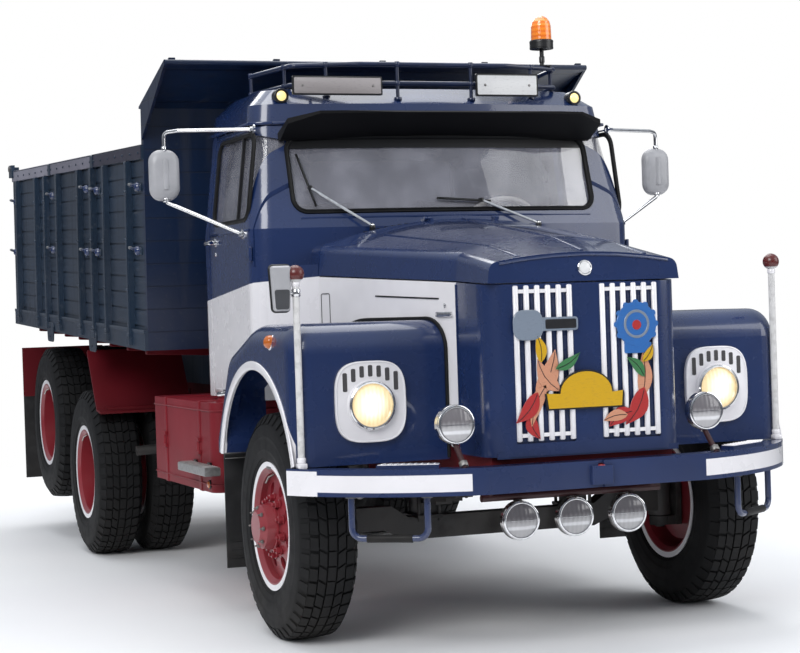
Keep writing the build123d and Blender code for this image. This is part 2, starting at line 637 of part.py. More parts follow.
# Doors: cut from the same skin, with an open window and a mirror on its arms
for side, name in ((1, "left"), (-1, "right")):
    with BuildPart() as door:
        add(cab_shell.part)
        xs = sorted((side * 800, side * 1100))
        panel = rectangle(DOOR_FRONT, DOOR_REAR, CAB_LOW, GUTTER_Z - DOOR_GAP, 30)
        side_prism(panel, *xs, Mode.INTERSECT)
        block(sorted((side * 700, side * (CAB_HALF - CAB_WALL - 2))), (0, 1600), (0, BELT_Z - 60), Mode.SUBTRACT)
        side_prism(DOOR_WINDOW, *xs, Mode.SUBTRACT)
        rod((side * (CAB_HALF + 24), 1190, 1862), (side * (CAB_HALF + 24), 1290, 1862), 9)
        rod((side * (CAB_HALF - 4), 1205, 1862), (side * (CAB_HALF + 24), 1205, 1862), 9)
    hand_in(door, "door_" + name)
    with BuildPart() as door_glass:
        add(glass_skin.part)
        side_prism(DOOR_WINDOW, *xs, Mode.INTERSECT)
    hand_in(door_glass, "door_glass_" + name)

    with BuildPart() as mirror_head:
        head = rectangle(side * 1360 - 75, side * 1360 + 75, 2060, 2312, 60)
        end_prism(head, 830, 880)
        arm = [(side * 952, 640, 2392), (side * 1300, 800, 2400), (side * 1360, 855, 2395),
               (side * 1360, 855, 2300)]
        pipe(arm, 9, 30)
        rod((side * 1360, 855, 2070), (side * (CAB_HALF - 2), 690, 1880), 9)
        add(door.part, mode=Mode.SUBTRACT)
    hand_in(mirror_head, "mirror_" + name)

# Bonnet lid: a crowned shell with folded sides
with BuildPart() as hood_lid:
    loft([lid_section(*row, 0) for row in LID_SECTIONS], ruled=True)
    inner_rows = [list(row) for row in LID_SECTIONS]
    inner_rows[0][0] += PANEL
    inner_rows[2][0] += 5
    loft([lid_section(*row, PANEL) for row in inner_rows], ruled=True, mode=Mode.SUBTRACT)
    for side in (-1, 1):
        block(sorted((side * 164, side * 180)), (305, LID_HINGE[0]), (1904, LID_HINGE[1]))
        rod((side * 164, *LID_HINGE), (side * 180, *LID_HINGE), 9)
        rod((side * 162, *LID_HINGE), (side * 182, *LID_HINGE), 5 + PIN_GAP, Mode.SUBTRACT)
hand_in(hood_lid, "hood_lid")

# Sun visor, roof rack with blank plates and marker lamps, and beacon
with BuildPart() as sun_visor:
    peak = [(370, 2452), (380, 2460), (640, 2372), (640, 2330), (600, 2338)]
    side_prism(peak, -840, 840)
    plan_prism([(-840, 470), (-700, 385), (-300, 370), (300, 370), (700, 385), (840, 470), (840, 700), (-840, 700)],
               2300, 2500, Mode.INTERSECT)
    cab_form(0, Mode.SUBTRACT)
hand_in(sun_visor, "sun_visor")

RACK_TOP = 2720.0
RACK_LOW = 2624.0
RACK_POSTS = (
    # x, y, foot z
    (800.0, 1205.0, 2598.0),
    (735.0, 835.0, 2598.0),
    (560.0, 702.0, 2555.0),
    (200.0, 645.0, 2535.0),
)
PLATES = (
    # left x, right x, low z, top z
    (-762.0, -291.0, 2560.0, 2655.0),
    (217.0, 563.0, 2560.0, 2675.0),
)
with BuildPart() as roof_rack:
    for level in (RACK_TOP, RACK_LOW):
        rail_path = [(-800, 1215, level), (-722, 760, level), (-400, 645, level), (400, 645, level),
                     (722, 760, level), (800, 1215, level)]
        pipe(rail_path, 12, 40)
    for x, y, foot in RACK_POSTS:
        for side in (-1, 1):
            rod((side * x, y, foot), (side * x, y, RACK_TOP), 9)
    for left, right, low, top in PLATES:
        end_prism(rectangle(left, right, low, top, 8), 618, 630)
        for x in (left + 130, right - 90):
            rail_y = 645 + max(0, abs(x) - 400) * 0.357
            rod((x, 628, RACK_LOW), (x, rail_y, RACK_LOW), 8)
    for side in (-1, 1):
        rod((side * 800, 686, 2562), (side * 800, 735, 2562), 36)
    add(cab_roof.part, mode=Mode.SUBTRACT)
hand_in(roof_rack, "roof_rack")

BEACON = (675.0, 800.0)
DOME_TOP = 3005.0
DOME = [(54, 2872), (52, 2950), (46, 2974), (33, 2992), (16, 3002), (6, DOME_TOP), (0, DOME_TOP)]
with BuildPart() as beacon:
    block((BEACON[0] - 22, BEACON[0] + 22), (728, BEACON[1] + 22), (RACK_TOP + 12, RACK_TOP + 18))
    with BuildSketch(Plane(origin=at(*BEACON, 0), x_dir=(1, 0, 0), z_dir=(0, -1, 0))):
        with BuildLine():
            foot = [(0, DOME_TOP), (0, RACK_TOP + 14), (11, RACK_TOP + 14), (11, 2830), (62, 2830), (62, 2872)]
            Polyline(*foot, *DOME[:-1], close=True)
        make_face()
    revolve(axis=Axis(at(*BEACON, 0), (0, 0, 1)))
hand_in(beacon, "beacon")

# Seats, dashboard and steering wheel
with BuildPart() as seats:
    for x in (-430.0, 430.0):
        cushion = rectangle(x - 250, x + 250, 880, 1360, 50)
        plan_prism(cushion, 1400, 1540)
        rest = [(1330, 1500, 20), (1430, 1500, 20), (1440, 2080, 30), (1370, 2080, 30)]
        side_prism(rest, x - 240, x + 240)
        block((x - 200, x + 200), (930, 1310), (CAB_LOW + CAB_WALL, 1400))
hand_in(seats, "seats")

with BuildPart() as dashboard:
    board = [(420, 1640), (420, 1880, 20), (660, 1905, 20), (760, 1860, 30), (740, 1640, 30)]
    side_prism(board, -900, 900)
    add(cab_room.part, mode=Mode.INTERSECT)
    rod((420, 700, 1700), (420, 905, 1890), 28)
hand_in(dashboard, "dashboard")

with BuildPart() as steering_wheel:
    hub = Plane(origin=at(420, 905, 1890), z_dir=(0, 0.72, 0.69))
    with Locations(hub):
        Torus(215, 14)
        Cylinder(45, 40)
        for turn in (0, 120, 240):
            with Locations(Location((0, 0, 0), (0, 0, turn))):
                with Locations((105, 0, 0)):
                    Box(220, 24, 12)
    add(dashboard.part, mode=Mode.SUBTRACT)
hand_in(steering_wheel, "steering_wheel")

# Wipers on the cowl: the right one stands up on the screen, the left one is parked
WIPERS = (
    # spindle x, arm's end, blade's ends
    (-445.0, (-722, 532, 2097), (-765, 598, 2265), (-700, 503, 2005)),
    (445.0, (155, 466, 2023), (-76, 471, 2035), (210, 469, 2017)),
)
with BuildPart() as wipers:
    for x, arm_end, first, last in WIPERS:
        rod((x, 411, 1872), (x, 405, 1905), 14)
        rod((x, 406, 1898), arm_end, 5)
        rod(first, last, 6)
    add(cab_front.part, mode=Mode.SUBTRACT)
hand_in(wipers, "wipers")

# Fuel tank, battery box, air tank and silencer
with BuildPart() as fuel_tank:
    plan_prism(rectangle(-1150, -600, 900, 2150, 60), 600, 1050)
    for y in (1150.0, 1850.0):
        block((-600, -RAIL_OUT), (y - 40, y + 40), (780, 900))
hand_in(fuel_tank, "fuel_tank")

with BuildPart() as side_boxes:
    plan_prism(rectangle(600, 1080, 950, 1600, 25), 640, 1000)
    block((RAIL_OUT, 600), (1200, 1320), (780, 900))
    rod((780, 1720, 800), (780, 2420, 800), 140)
    for y in (1820.0, 2320.0):
        block((RAIL_OUT, 700), (y - 30, y + 30), (780, 860))
    block((-1060, -620), (2260, 2380), (720, 760))
    rod((-700, 2240, 800), (-700, 2900, 800), 120)
    block((-620, -RAIL_OUT), (2500, 2600), (780, 860))
hand_in(side_boxes, "side_boxes")

# Rear mudguards, tail boards, flaps and tail lamps
with BuildPart() as rear_mudguards:
    for side in (-1, 1):
        xs = sorted((side * 600, side * FENDER_OUT))
        side_prism([(3418, 925), (3432, 918), (3672, 1280), (3658, 1288)], *xs)
        side_prism([(3330, 905), (3432, 918), (3430, 930), (3328, 917)], *xs)
        rod((side * RAIL_OUT, 3390, 925), (side * 1150, 3390, 925), 20)
        side_prism(rectangle(6000, 6014, 930, 1290), *xs)
        rod((side * RAIL_OUT, 5984, 950), (side * 1100, 5984, 950), 16)
hand_in(rear_mudguards, "rear_mudguards")

with BuildPart() as mud_flaps:
    for side in (-1, 1):
        block(sorted((side * 880, side * 1150)), (700, 710), (250, 830))
        block(sorted((side * 600, side * FENDER_OUT)), (6000, 6012), (330, 930))
        rod((side * RAIL_OUT, 690, 800), (side * 1150, 690, 800), 10)
hand_in(mud_flaps, "mud_flaps")

with BuildPart() as tail_lamps:
    for side in (-1, 1):
        end_prism(rectangle(side * 900 - 110, side * 900 + 110, 1000, 1090, 15), 6014, 6050)
hand_in(tail_lamps, "tail_lamps")

# Steering knuckles: a yoke, its kingpin and the wheel spindle
for side, name in ((1, "left"), (-1, "right")):
    with BuildPart() as knuckle:
        x = side * KINGPIN_X
        rod((x, 0, 606), (x, 0, 650), 50)
        rod((x, 0, 390), (x, 0, 434), 50)
        rod((x, 0, 380), (x, 0, 660), KINGPIN_R)
        xs = sorted((side * (KINGPIN_X + 62), side * (KINGPIN_X + 90)))
        block(xs, (-60, 60), (390, 650))
        xs = sorted((x, side * (KINGPIN_X + 70)))
        block(xs, (-45, 45), (606, 650))
        block(xs, (-45, 45), (390, 434))
        rod((side * (KINGPIN_X + 80), 0, HUB_Z), (side * 1150, 0, HUB_Z), SPINDLE_R)
    hand_in(knuckle, "knuckle_" + name)

# Wheels: tyres by one profile, rims with flanges, discs, hubs and drums
TYRE_PROFILE = [
    (-105.0, BEAD_R), (-112.0, RIM_R - 4), (-128.0, RIM_R + 5), (-TYRE_HALF, 390.0), (-132.0, 468.0),
    (-104.0, 512.0), (0.0, TYRE_R), (104.0, 512.0), (132.0, 468.0), (TYRE_HALF, 390.0), (128.0, RIM_R + 5),
    (112.0, RIM_R - 4), (105.0, BEAD_R),
]
RIM_PROFILE = [
    (-126.0, RIM_R), (-112.0, RIM_R - 4), (-105.0, BEAD_R), (105.0, BEAD_R), (112.0, RIM_R - 4), (126.0, RIM_R),
    (124.0, 262.0), (105.0, 242.0), (-105.0, 242.0), (-124.0, 262.0),
]
BORE_R = SPINDLE_R + PIN_GAP
HAND_HOLES = 8


def hand_holes(x0, x1, y, z):
    """Ring of round holes through a wheel disc."""
    for number in range(HAND_HOLES):
        angle = radians(360 / HAND_HOLES * (number + 0.5))
        hole_y = y + 178 * cos(angle)
        hole_z = z + 178 * sin(angle)
        rod((x0, hole_y, hole_z), (x1, hole_y, hole_z), 30, Mode.SUBTRACT)


def front_rim(side, y, z):
    """Front wheel: one rim, a shallow disc and a hub that stands out."""
    centre = side * FRONT_TRACK_HALF
    turned((centre, y, z), RIM_PROFILE)
    disc = [(60, 244), (76, 244), (96, 150), (82, 140)]
    turned((centre, y, z), [(side * x, r) for x, r in disc])
    hub = [(-48, BORE_R), (-48, 205), (40, 205), (60, 150), (96, 150), (110, 110), (170, 100), (196, 70),
           (196, 0), (150, 0), (150, BORE_R)]
    turned((centre, y, z), [(side * x, r) for x, r in hub])
    hand_holes(centre + side * 41, centre + side * 100, y, z)


def twin_rim(side, y, z):
    """Rear wheels: two rims whose discs meet on one deep hub."""
    for centre in (TWIN_OUT, TWIN_IN):
        turned((side * centre, y, z), RIM_PROFILE)
    middle = (TWIN_OUT + TWIN_IN) / 2
    disc = [(middle - 70, 244), (middle - 16, 190), (middle - 16, 120), (middle + 16, 120), (middle + 16, 190),
            (middle + 70, 244), (middle + 52, 244), (middle, 206), (middle - 52, 244)]
    turned((0, y, z), [(side * x, r) for x, r in disc])
    hub = [(640, BORE_R), (640, 200), (820, 200), (850, 130), (1000, 120), (1060, 95), (1090, 60), (1090, 0),
           (920, 0), (920, BORE_R)]
    turned((0, y, z), [(side * x, r) for x, r in hub])
    hand_holes(side * (middle - 40), side * (middle + 40), y, z)


WHEELS = (
    # name, side, y, hub z, tyre centres
    ("front_left", 1, 0.0, HUB_Z, (FRONT_TRACK_HALF,)),
    ("front_right", -1, 0.0, HUB_Z, (FRONT_TRACK_HALF,)),
    ("drive_left", 1, WHEELBASE, HUB_Z, (TWIN_OUT, TWIN_IN)),
    ("drive_right", -1, WHEELBASE, HUB_Z, (TWIN_OUT, TWIN_IN)),
    ("tag_left", 1, TAG_Y, TAG_Z, (TWIN_OUT, TWIN_IN)),
    ("tag_right", -1, TAG_Y, TAG_Z, (TWIN_OUT, TWIN_IN)),
)
for name, side, y, z, centres in WHEELS:
    with BuildPart() as tyre:
        for centre in centres:
            turned((side * centre, y, z), TYRE_PROFILE)
    hand_in(tyre, "tyre_" + name)
    with BuildPart() as rim:
        if len(centres) == 1:
            front_rim(side, y, z)
        else:
            twin_rim(side, y, z)
    hand_in(rim, "rim_" + name)

# Tipping body: sills on the hinge shaft, and the floor, which lies between its boards
FLOOR = 55.0
SIDE_THICK = 40.0
HEAD_THICK = 50.0
SILL_IN = RAIL_OUT + 10.0
SILL_OUT = 500.0


def floor_z(y):
    """Underside of the tipping body at a distance from the front axle."""
    return BODY_LOW + (y - BODY_FRONT) * sin(BODY_RISE) / cos(BODY_RISE)


ROD_EYE = (4450.0, 1180.0)
with BuildPart() as tipper_floor:
    for side in (-1, 1):
        xs = sorted((side * SILL_IN, side * SILL_OUT))
        sill = [(2050, SUBFRAME_TOP + 5), (PIVOT_Y, SUBFRAME_TOP + 5), (PIVOT_Y + 65, SUBFRAME_TOP + 5, 60),
                (PIVOT_Y + 65, floor_z(PIVOT_Y + 65)), (2050, floor_z(2050))]
        side_prism(sill, *xs)
        rod((side * (SILL_IN - 5), PIVOT_Y, PIVOT_Z), (side * (SILL_OUT + 5), PIVOT_Y, PIVOT_Z),
            PIVOT_R + PIN_GAP, Mode.SUBTRACT)
        xs = sorted((side * 60, side * 84))
        side_prism([(ROD_EYE[0] - 60, ROD_EYE[1] - 60, 40), (ROD_EYE[0] + 60, ROD_EYE[1] - 60, 40),
                    (ROD_EYE[0] + 90, floor_z(ROD_EYE[0] + 90)), (ROD_EYE[0] - 90, floor_z(ROD_EYE[0] - 90))], *xs)
    floor_half = BODY_HALF - SIDE_THICK
    body_block((-floor_half, floor_half), (HEAD_THICK, BODY_LENGTH), (0, FLOOR))
hand_in(tipper_floor, "tipper_floor")

# Sides: plank boards with stakes, a foot rail and a top rail
PLANKS = 10
STAKES = (2316.0, 2914.0, 3273.0, 3669.0, 4363.0, 4793.0, 5141.0, 5887.0)
GATE_HINGE = body_point(BODY_LENGTH + 20, SIDE_HEIGHT + 20)
GATE_PIN_R = 12.0
with BuildPart() as tipper_sides:
    for side in (-1, 1):
        inner = side * (BODY_HALF - SIDE_THICK)
        body_block(sorted((inner, side * BODY_HALF)), (HEAD_THICK, BODY_LENGTH), (0, SIDE_HEIGHT))
        pitch = (SIDE_HEIGHT - 80 - 130) / PLANKS
        for number in range(PLANKS + 1):
            up = 130 + pitch * number
            groove = sorted((side * (BODY_HALF - 7), side * (BODY_HALF + 5)))
            body_block(groove, (HEAD_THICK, BODY_LENGTH), (up - 5, up + 5), Mode.SUBTRACT)
        body_block(sorted((side * BODY_HALF, side * (BODY_HALF + 18))), (0, BODY_LENGTH), (0, 110))
        body_block(sorted((side * BODY_HALF, side * (BODY_HALF + 14))), (0, BODY_LENGTH), (SIDE_HEIGHT - 75, SIDE_HEIGHT))
        for y in STAKES:
            along = (y - BODY_FRONT) / cos(BODY_RISE)
            body_block(sorted((side * BODY_HALF, side * (BODY_HALF + 30))), (along - 32, along + 32),
                       (20, SIDE_HEIGHT - 75))
        ear = sorted((side * (BODY_HALF + 6), side * (BODY_HALF + 30)))
        body_block(ear, (BODY_LENGTH - 80, BODY_LENGTH + 46), (SIDE_HEIGHT - 45, SIDE_HEIGHT + 47))
        rod((ear[0] - 2, *GATE_HINGE), (ear[1] + 2, *GATE_HINGE), GATE_PIN_R + PIN_GAP, Mode.SUBTRACT)
hand_in(tipper_sides, "tipper_sides")

with BuildPart() as tipper_front:
    body_block((-BODY_HALF, BODY_HALF), (0, HEAD_THICK), (0, HEAD_HEIGHT))
    guard = [(0, HEAD_HEIGHT), (-545, HEAD_HEIGHT + 190), (-545, HEAD_HEIGHT + 218), (HEAD_THICK, HEAD_HEIGHT + 12),
             (HEAD_THICK, HEAD_HEIGHT)]
    body_prism(guard, -BODY_HALF - 10, BODY_HALF + 10)
    for side in (-1, 1):
        gusset = [(0, HEAD_HEIGHT - 170), (-545, HEAD_HEIGHT + 192), (0, HEAD_HEIGHT)]
        body_prism(gusset, *sorted((side * (BODY_HALF - 5), side * (BODY_HALF + 10))))
hand_in(tipper_front, "tipper_front")

with BuildPart() as tailgate:
    gate = (BODY_LENGTH + 6, BODY_LENGTH + 46)
    body_block((-BODY_HALF, BODY_HALF), gate, (FLOOR + 6, SIDE_HEIGHT))
    for x in (-800.0, -270.0, 270.0, 800.0):
        body_block((x - 35, x + 35), (gate[1], gate[1] + 24), (FLOOR + 20, SIDE_HEIGHT - 20))
    for side in (-1, 1):
        body_block(sorted((side * (BODY_HALF - 40), side * BODY_HALF)), gate, (SIDE_HEIGHT - 20, SIDE_HEIGHT + 35))
        rod((side * (BODY_HALF - 30), *GATE_HINGE), (side * (BODY_HALF + 34), *GATE_HINGE), GATE_PIN_R)
hand_in(tailgate, "tailgate")

# Tipping cylinder: barrel on the frame, rod with an eye under the floor
foot = Vector(0, *CYLINDER_FOOT)
eye = Vector(0, *ROD_EYE)
LINE = (eye - foot).normalized()


def along_line(distance):
    """Point on the cylinder's line, from its foot."""
    point = foot + LINE * distance
    return (point.X, point.Y, point.Z)


CLOSED = (eye - foot).length
with BuildPart() as cylinder_barrel:
    rod(along_line(60), along_line(CLOSED - 120), 62)
    block((-55, 55), (CYLINDER_FOOT[0] - 45, CYLINDER_FOOT[0] + 70), (CYLINDER_FOOT[1] - 45, CYLINDER_FOOT[1] + 45))
    rod((-60, *CYLINDER_FOOT), (60, *CYLINDER_FOOT), 25 + PIN_GAP, Mode.SUBTRACT)
    rod(along_line(150), along_line(CLOSED), 40 + PIN_GAP, Mode.SUBTRACT)
hand_in(cylinder_barrel, "cylinder_barrel")

with BuildPart() as cylinder_rod:
    rod(along_line(170), along_line(CLOSED - 20), 40)
    rod((-50, *ROD_EYE), (50, *ROD_EYE), 50)
hand_in(cylinder_rod, "cylinder_rod")
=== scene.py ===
"""Visible surface of a bonneted three-axle tipper truck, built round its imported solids."""
import math

import bmesh
import bpy
from mathutils import Matrix, Vector


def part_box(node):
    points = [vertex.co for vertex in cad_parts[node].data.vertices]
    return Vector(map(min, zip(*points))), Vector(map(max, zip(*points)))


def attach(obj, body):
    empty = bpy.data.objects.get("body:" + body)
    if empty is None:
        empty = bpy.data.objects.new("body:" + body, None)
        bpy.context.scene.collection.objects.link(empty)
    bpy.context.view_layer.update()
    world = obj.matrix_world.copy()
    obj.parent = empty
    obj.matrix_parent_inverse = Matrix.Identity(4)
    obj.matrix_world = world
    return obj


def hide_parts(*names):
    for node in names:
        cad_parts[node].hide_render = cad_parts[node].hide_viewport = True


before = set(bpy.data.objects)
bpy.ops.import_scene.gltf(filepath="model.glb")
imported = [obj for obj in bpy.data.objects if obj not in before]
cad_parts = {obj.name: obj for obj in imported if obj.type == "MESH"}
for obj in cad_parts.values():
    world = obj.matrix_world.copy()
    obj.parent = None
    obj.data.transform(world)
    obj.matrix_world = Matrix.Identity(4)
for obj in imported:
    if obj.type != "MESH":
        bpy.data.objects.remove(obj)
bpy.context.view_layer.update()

bl_info = {
    "name": "Tipper Truck Dress",
    "version": (1, 0, 0),
    "blender": (4, 5, 0),
    "location": "View3D > Sidebar > Truck",
    "description": "Builds the visible surface of a bonneted tipper truck round its solids",
    "category": "Object",
}

# Places below are metres: x to the truck's left, y rearward from the front axle, z up
TYRE_LOW, TYRE_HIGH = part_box("tyre_front_left")
FRONT = (TYRE_LOW.y + TYRE_HIGH.y) / 2
HUB_Z = (TYRE_LOW.z + TYRE_HIGH.z) / 2
SIDES = ((1, "left"), (-1, "right"))
LEFT, RIGHT = (1, 0, 0), (-1, 0, 0)
REAR, AHEAD = (0, 1, 0), (0, -1, 0)
UP, DOWN = (0, 0, 1), (0, 0, -1)
DRIVE_Y, DRIVE_Z = 3.8, 0.52
TAG_Y, TAG_Z = 5.05, 0.78
FRONT_TRACK = 1.01
WHEELS = (
    # name, y and z of the hub, tyre centres from the middle
    ("front", 0.0, HUB_Z, (FRONT_TRACK,)),
    ("drive", DRIVE_Y, HUB_Z, (1.08, 0.75)),
    ("tag", TAG_Y, TAG_Z, (1.08, 0.75)),
)
HEADLAMP = (0.85, -0.6, 1.096)
LENS_UP = -0.015
SPOT_HIGH, SPOT_LOW = 0.998, 0.561
SPOT_LAMPS = (
    # x, y and z of the glass, radius
    (0.596, -0.962, SPOT_HIGH, 0.078),
    (-0.596, -0.962, SPOT_HIGH, 0.078),
    (-0.26, -0.846, SPOT_LOW, 0.08),
    (0.0, -0.846, SPOT_LOW, 0.08),
    (0.26, -0.846, SPOT_LOW, 0.08),
)
ARCH_Y, ARCH_Z, ARCH_RADIUS = -0.008, 0.665, 0.575
NOSE_Y, NOSE_HALF, COWL_HALF = -0.68, 0.462, 0.75
BODY_FRONT = 1.98
BODY_LOW = 1.305
BODY_SLOPE = 0.0403  # rise of the load floor over its length
BODY_RISE = math.asin(BODY_SLOPE)
STAKES = (2.316, 2.914, 3.273, 3.669, 4.363, 4.793, 5.141, 5.887)
TIPPER_LINES = Matrix.Translation((0, BODY_FRONT, BODY_LOW)) @ Matrix.Rotation(BODY_RISE, 4, "X")


class TruckPaint(bpy.types.PropertyGroup):
    """Colours of the truck's finishes."""

    body: bpy.props.FloatVectorProperty(
        name="Body", description="Main paint of cab, bonnet and tipping body",
        subtype="COLOR", size=4, min=0, max=1, default=(0.0085, 0.024, 0.093, 1))
    band: bpy.props.FloatVectorProperty(
        name="Band", description="Pale paint of bonnet sides, lower doors and bumper ends",
        subtype="COLOR", size=4, min=0, max=1, default=(0.86, 0.84, 0.86, 1))
    gear: bpy.props.FloatVectorProperty(
        name="Running gear", description="Paint of frame, tank and wheels",
        subtype="COLOR", size=4, min=0, max=1, default=(0.235, 0.012, 0.022, 1))
    rubber: bpy.props.FloatVectorProperty(
        name="Rubber", description="Colour of tyres, seals and flaps",
        subtype="COLOR", size=4, min=0, max=1, default=(0.006, 0.006, 0.0065, 1))
    dust: bpy.props.FloatVectorProperty(
        name="Road dust", description="Colour of dust near the ground",
        subtype="COLOR", size=4, min=0, max=1, default=(0.16, 0.14, 0.12, 1))
    dust_amount: bpy.props.FloatProperty(
        name="Dust amount", description="How much dust lies on the low parts",
        subtype="FACTOR", min=0, max=1, default=0.14)


class TruckSizes(bpy.types.PropertyGroup):
    """Sizes of the repeated and fitted details."""

    tread_blocks: bpy.props.IntProperty(
        name="Tread blocks", description="Blocks round one tyre", min=20, max=80, default=46)
    tread_depth: bpy.props.FloatProperty(
        name="Tread depth", description="Depth of the tread grooves", unit="LENGTH",
        min=0.002, max=0.02, default=0.011)
    wheel_nuts: bpy.props.IntProperty(
        name="Wheel nuts", description="Nuts on one wheel", min=6, max=12, default=10)
    nut_width: bpy.props.FloatProperty(
        name="Nut width", description="Width of a wheel nut across its corners", unit="LENGTH",
        min=0.02, max=0.05, default=0.036)
    rivet: bpy.props.FloatProperty(
        name="Rivet head", description="Radius of a rivet head", unit="LENGTH",
        min=0.003, max=0.02, default=0.01)
    seal: bpy.props.FloatProperty(
        name="Window rubber", description="Half the width of the window rubbers", unit="LENGTH",
        min=0.006, max=0.03, default=0.013)


# ---------------------------------------------------------------- shader maths
class Level:
    """A shader socket that takes part in sums, so that a mask reads as arithmetic."""

    def __init__(self, shader, socket):
        self.shader = shader
        self.socket = socket

    def _sum(self, operation, first, second):
        return self.shader.node("ShaderNodeMath", {"operation": operation}, {0: first, 1: second})

    def __add__(self, other):
        return self._sum("ADD", self, other)

    def __sub__(self, other):
        return self._sum("SUBTRACT", self, other)

    def __mul__(self, other):
        return self._sum("MULTIPLY", self, other)

    def __radd__(self, other):
        return self._sum("ADD", other, self)

    def __rsub__(self, other):
        return self._sum("SUBTRACT", other, self)

    def __rmul__(self, other):
        return self._sum("MULTIPLY", other, self)

    def __abs__(self):
        return self._sum("ABSOLUTE", self, 0.0)

    def most(self, other):
        return self._sum("MAXIMUM", self, other)

    def wave(self):
        return self._sum("SINE", self, 0.0)

    def root(self):
        return self._sum("SQRT", self, 0.0)

    def above(self, edge, soft=0.002):
        """1 where this is above the edge, 0 below it."""
        return self.shader.ramp(self, edge - soft, edge + soft)

    def below(self, edge, soft=0.002):
        return self.shader.ramp(self, edge + soft, edge - soft)


class Shader:
    """The nodes of one material, given by name, or of the world."""

    def __init__(self, owner):
        self.owner = bpy.data.materials.new(owner) if isinstance(owner, str) else owner
        self.owner.use_nodes = True
        self.tree = self.owner.node_tree
        self.tree.nodes.clear()
        self.place = self.node("ShaderNodeTexCoord", output="Object")
        split = self.node("ShaderNodeSeparateXYZ", sockets={0: self.place})
        outputs = split.socket.node.outputs
        self.x = Level(self, outputs[0])
        self.y = Level(self, outputs[1]) - FRONT
        self.z = Level(self, outputs[2])

    def node(self, kind, settings=None, sockets=None, output=0):
        """Any node: its settings first, then its sockets' values or links."""
        made = self.tree.nodes.new(kind)
        for key, value in (settings or {}).items():
            setattr(made, key, value)
        for key, value in (sockets or {}).items():
            if isinstance(value, Level):
                self.tree.links.new(value.socket, made.inputs[key])
            else:
                made.inputs[key].default_value = value
        return Level(self, made.outputs[output]) if made.outputs else None

    def ramp(self, level, low, high):
        sockets = {"Value": level, "From Min": low, "From Max": high}
        return self.node("ShaderNodeMapRange", {"interpolation_type": "SMOOTHSTEP"}, sockets)

    def noise(self, scale, detail=3.0, stretch=(1, 1, 1)):
        spot = self.node("ShaderNodeMapping", sockets={"Vector": self.place, "Scale": stretch})
        sockets = {"Vector": spot, "Scale": scale, "Detail": detail}
        return self.node("ShaderNodeTexNoise", sockets=sockets)

    def mix(self, share, first, second):
        """Colour that goes from the first to the second as the share goes from 0 to 1."""
        return self.node("ShaderNodeMix", {"data_type": "RGBA"}, {0: share, 6: first, 7: second}, output=2)

    def bump(self, height, strength, distance):
        sockets = {"Height": height, "Strength": strength, "Distance": distance}
        return self.node("ShaderNodeBump", sockets=sockets)

    def surface(self, **sockets):
        """Finish with one Principled surface; names use underscores for spaces."""
        named = {key.replace("_", " "): value for key, value in sockets.items()}
        skin = self.node("ShaderNodeBsdfPrincipled", sockets=named)
        self.node("ShaderNodeOutputMaterial", sockets={"Surface": skin})
        return self.owner


MADE = {}


def paint_of():
    return bpy.context.scene.truck_paint


def shade(colour, factor):
    return (colour[0] * factor, colour[1] * factor, colour[2] * factor, 1)


def dusted(shader, colour, low=0.25, high=1.15):
    """The colour under road dust that thins out upwards; gives colour and dust share."""
    cloud = shader.noise(2.6, 5)
    share = shader.ramp(shader.z, high, low) * shader.ramp(cloud, 0.3, 0.72) * paint_of().dust_amount
    return shader.mix(share, colour, tuple(paint_of().dust)), share


def paint(name, colour, second=None, mask=None, gloss=0.22, coat=0.8, shine=0.5):
    """Sprayed and polished coach paint, with a second colour where the mask is 1."""
    s = Shader(name)
    flow = s.noise(1.7, 4)
    tone = s.mix(s.ramp(flow, 0.35, 0.68), shade(colour, 0.9), shade(colour, 1.1))
    if mask:
        share = mask(s)
        other = s.mix(s.ramp(flow, 0.35, 0.68), shade(second, 0.95), shade(second, 1.03))
        tone = s.mix(share, tone, other)
    tone, dust = dusted(s, tone)
    fine = s.noise(260, 2)
    rough = gloss + 0.1 * s.noise(9, 4) + dust * 0.5
    skin = s.bump(fine * 0.25 + s.noise(3.2, 2) * 6.0, 0.25, 0.0011)
    return s.surface(Base_Color=tone, Roughness=rough, Specular_IOR_Level=shine, Coat_Weight=coat,
                     Coat_Roughness=0.06, Normal=skin)


def cab_band(s):
    """Pale lower part of the cab's sides, up to a line that falls to the rear."""
    line = 1.64 - (s.y - 0.56) * 0.0907
    return (line - s.z).above(0, 0.0012) * s.y.above(0.34)


def bumper_band(s):
    """Pale outer faces of the bumper, below its blue lip, and its end caps."""
    ends = s.x.above(0.505, 0.001).most(s.x.below(-0.585, 0.001))
    face = s.z.above(0.727, 0.001) * s.z.below(0.7985, 0.001)
    return (ends * face).most(abs(s.x).above(1.135) * s.z.below(0.815, 0.001))


def arch_edge(s):
    """Distance from the middle of the front wheel arch, in side view."""
    across = s.y - ARCH_Y
    up = s.z - ARCH_Z
    return (across * across + up * up).root()


def fender_band(s):
    """Pale lip round the front wheel arch, on the wing's outer face."""
    return arch_edge(s).below(0.612, 0.001) * abs(s.x).above(1.18)


def wheel_ring(y, z):
    """Pale edge of a rim, by the distance from the hub."""
    def mask(s):
        across, up = s.y - y, s.z - z
        reach = (across * across + up * up).root()
        return reach.above(0.268, 0.001)
    return mask


def metal(name, colour, rough, grain=0.08, scale=40, stretch=(1, 1, 1), dust=False):
    s = Shader(name)
    spots = s.noise(scale, 4, stretch)
    tone = s.mix(s.ramp(spots, 0.3, 0.7), shade(colour, 0.82), shade(colour, 1.05))
    if dust:
        tone, _ = dusted(s, tone)
    return s.surface(
        Base_Color=tone, Metallic=1.0, Roughness=rough + grain * spots,
        Normal=s.bump(spots, 0.08, 0.0006))


